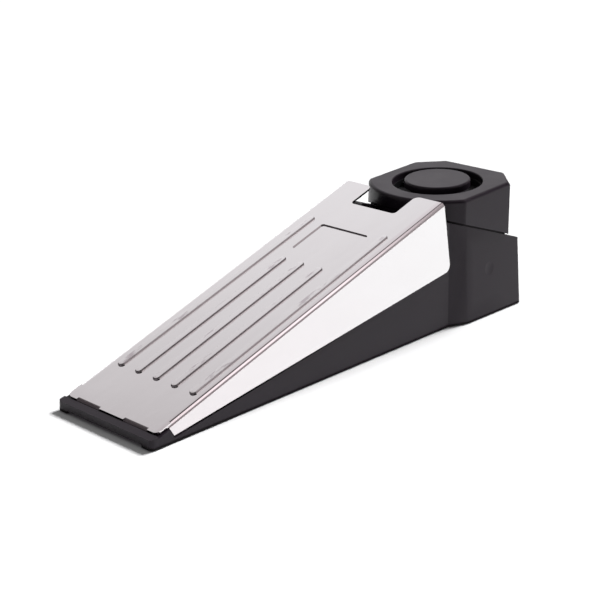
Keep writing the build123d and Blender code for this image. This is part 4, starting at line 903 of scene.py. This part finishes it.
def add_resistor_legs():
    """Legs: tinned wire out of each end of the resistors, bent down to the board."""
    low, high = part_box("resistors")
    radius = HALF["resistors"].x
    reach, wire = 0.0012, 0.00024
    parts = []
    for y in (low.y + radius, high.y - radius):
        for end, step in ((low.z, -1), (high.z, 1)):
            corners = [
                (BOARD_FRONT - radius, y, end - step * 0.0003),
                (BOARD_FRONT - radius, y, end + step * 0.0009),
                (BOARD_FRONT - radius * 0.4, y, end + step * reach),
                (BOARD_FRONT, y, end + step * reach),
            ]
            parts.append(tube(eased(corners), wire, 8, (0, 1.0, 0)))
    make_piece("resistor_legs", parts, "case", "solder", 60)


def add_solder_joints():
    """Joints: a cone of solder with a hollow flank, spun about each lead and leg at the board."""
    lead_level = MIDDLE["circuit_board"].z + HALF["circuit_board"].z - 0.0008
    half = HALF["switch_leads"].y - 0.00055
    spots = [
        (y, lead_level, 0.00095)
        for y in (-2 * LEAD_PITCH, -LEAD_PITCH, 0.0, LEAD_PITCH, half, -half)
    ]
    low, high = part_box("resistors")
    for y in (low.y + HALF["resistors"].x, high.y - HALF["resistors"].x):
        spots += [(y, low.z - 0.0012, 0.0006), (y, high.z + 0.0012, 0.0006)]
    parts = []
    for y, z, size in spots:
        profile = [(0, 0.9 * size), (0.55 * size, 0.85 * size), (0.62 * size, 0.5 * size),
                   (0.78 * size, 0.22 * size), (size, 0.04 * size), (size, 0), (0, 0)]
        parts.append(turned(profile, (BOARD_FRONT, y, z), (-1, 0, 0), (0, 1, 0), 20))
    make_piece("solder_joints", parts, "case", "solder", 50)


def add_board_tracks():
    """Tracks: flat runs of copper under the green mask, each a low bar between two places."""
    half_width, proud = 0.0003, 0.00006
    runs = [((-0.0044, 0.0172), (-0.0044, 0.0130)), ((-0.0044, 0.0130), (-0.0090, 0.0130)),
            ((0.0, 0.0172), (0.0, 0.0112)), ((0.0, 0.0112), (0.0046, 0.0112)),
            ((0.0046, 0.0112), (0.0046, 0.0092)), ((0.0022, 0.0172), (0.0022, 0.0168)),
            ((-0.0034, 0.0039), (0.0030, 0.0039)), ((0.0030, 0.0039), (0.0030, 0.0045)),
            ((0.0070, 0.0112), (0.0119, 0.0112)), ((0.0119, 0.0112), (0.0119, 0.0098)),
            ((-0.0126, 0.0160), (-0.0126, 0.0045)), ((-0.0126, 0.0045), (-0.0040, 0.0045)),
            ((0.0135, 0.0172), (0.0135, 0.0050)), ((0.0135, 0.0050), (0.0100, 0.0050)),
            ((0.0070, 0.0050), (0.0100, 0.0050))]
    parts = []
    for (y0, z0), (y1, z1) in runs:
        low = (BOARD_FRONT - proud, min(y0, y1) - half_width, min(z0, z1) - half_width)
        high = (BOARD_FRONT + proud, max(y0, y1) + half_width, max(z0, z1) + half_width)
        parts.append(block(low, high))
    make_piece("board_tracks", parts, "case", "track_copper")


def add_battery_crimps():
    """Crimps: the jacket's rolled rims, a round bead along a rounded rectangle at each end."""
    inset, corner, bead = 0.00016, 0.0015, 0.00022
    low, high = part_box("battery_case")
    middle, half = MIDDLE["battery_case"], HALF["battery_case"]
    parts = []
    for x in (low.x + BATTERY_RIM, high.x - 0.0008):
        rim = rounded_rectangle((x, middle.y, middle.z), half.y - inset, half.z - inset, corner)
        parts.append(ring_tube(rim, bead))
    make_piece("battery_crimps", parts, "case", "terminal_plate", 60)


def add_door_grip():
    """Grip: round ridges half sunk in the lid in front of the finger recess, and an arrow."""
    ridge, half_width, pitch = 0.0003, 0.0055, 0.0015
    low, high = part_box("battery_door")
    level = low.z
    parts = []
    for row in range(4):
        x = high.x - 0.0042 - row * pitch
        parts.append(round_bar((x, -half_width, level), (x, half_width, level), ridge))
    tip, tail, wing = high.x - 0.0160, high.x - 0.0205, 0.0042
    for y in (-wing, wing):
        parts.append(round_bar((tail, y, level), (tip, 0.0, level), ridge))
    parts.append(round_bar((tail, -wing, level), (tail, wing, level), ridge))
    make_piece("door_grip", parts, "door", "case_plastic", 50)


def add_switch_marks():
    """Marks beside the knob on the leaning rear wall: a tube round a ring for off, a bar for on."""
    reach, aside, heel_lean, count = 0.0012, 0.0085, radians(2.7), 40
    level = MIDDLE["power_knob"].z
    wall_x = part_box("body_shell")[1].x - (level - 0.0003) * np.tan(heel_lean)
    turn = np.linspace(0, 2 * np.pi, count, endpoint=False)
    ring = np.stack([np.full(count, wall_x), -aside + 0.0009 * np.cos(turn),
                     level + reach * np.sin(turn)], -1)
    height = np.linspace(level - reach, level + reach, 12)
    bar = np.stack([np.full(12, wall_x), np.full(12, aside), height], -1)
    parts = [ring_tube(ring, 0.00016), tube(bar, 0.00018, 8, (1.0, 0, 0))]
    make_piece("switch_marks", parts, "case", "acetal", 60)


def dress(name, finish):
    """Gives a node its finish."""
    obj = nodes[name]
    obj.data.materials.clear()
    obj.data.materials.append(FINISHES[finish])
    smooth(obj)


for part in frame["record"]["subparts"]:
    dress(part["node"], part["material_slot"])

add_return_spring()
add_coil_winding()
add_capacitor_lids()
add_resistor_legs()
add_solder_joints()
add_board_tracks()
add_battery_crimps()
add_door_grip()
add_switch_marks()
add_camera()
add_world()
add_floor()
add_sun("key", (1.45, -0.16, 1.50), power=4.5, angle=19.0)
add_sun("under", (0.3, -0.3, -1.5), power=2.5, angle=40.0)
add_lamp("overhead", (0.0, 0.4, 2.2), (0, 0, 0.01), size=1.2, power=1.5)
bpy.context.scene.view_settings.view_transform = "Standard"
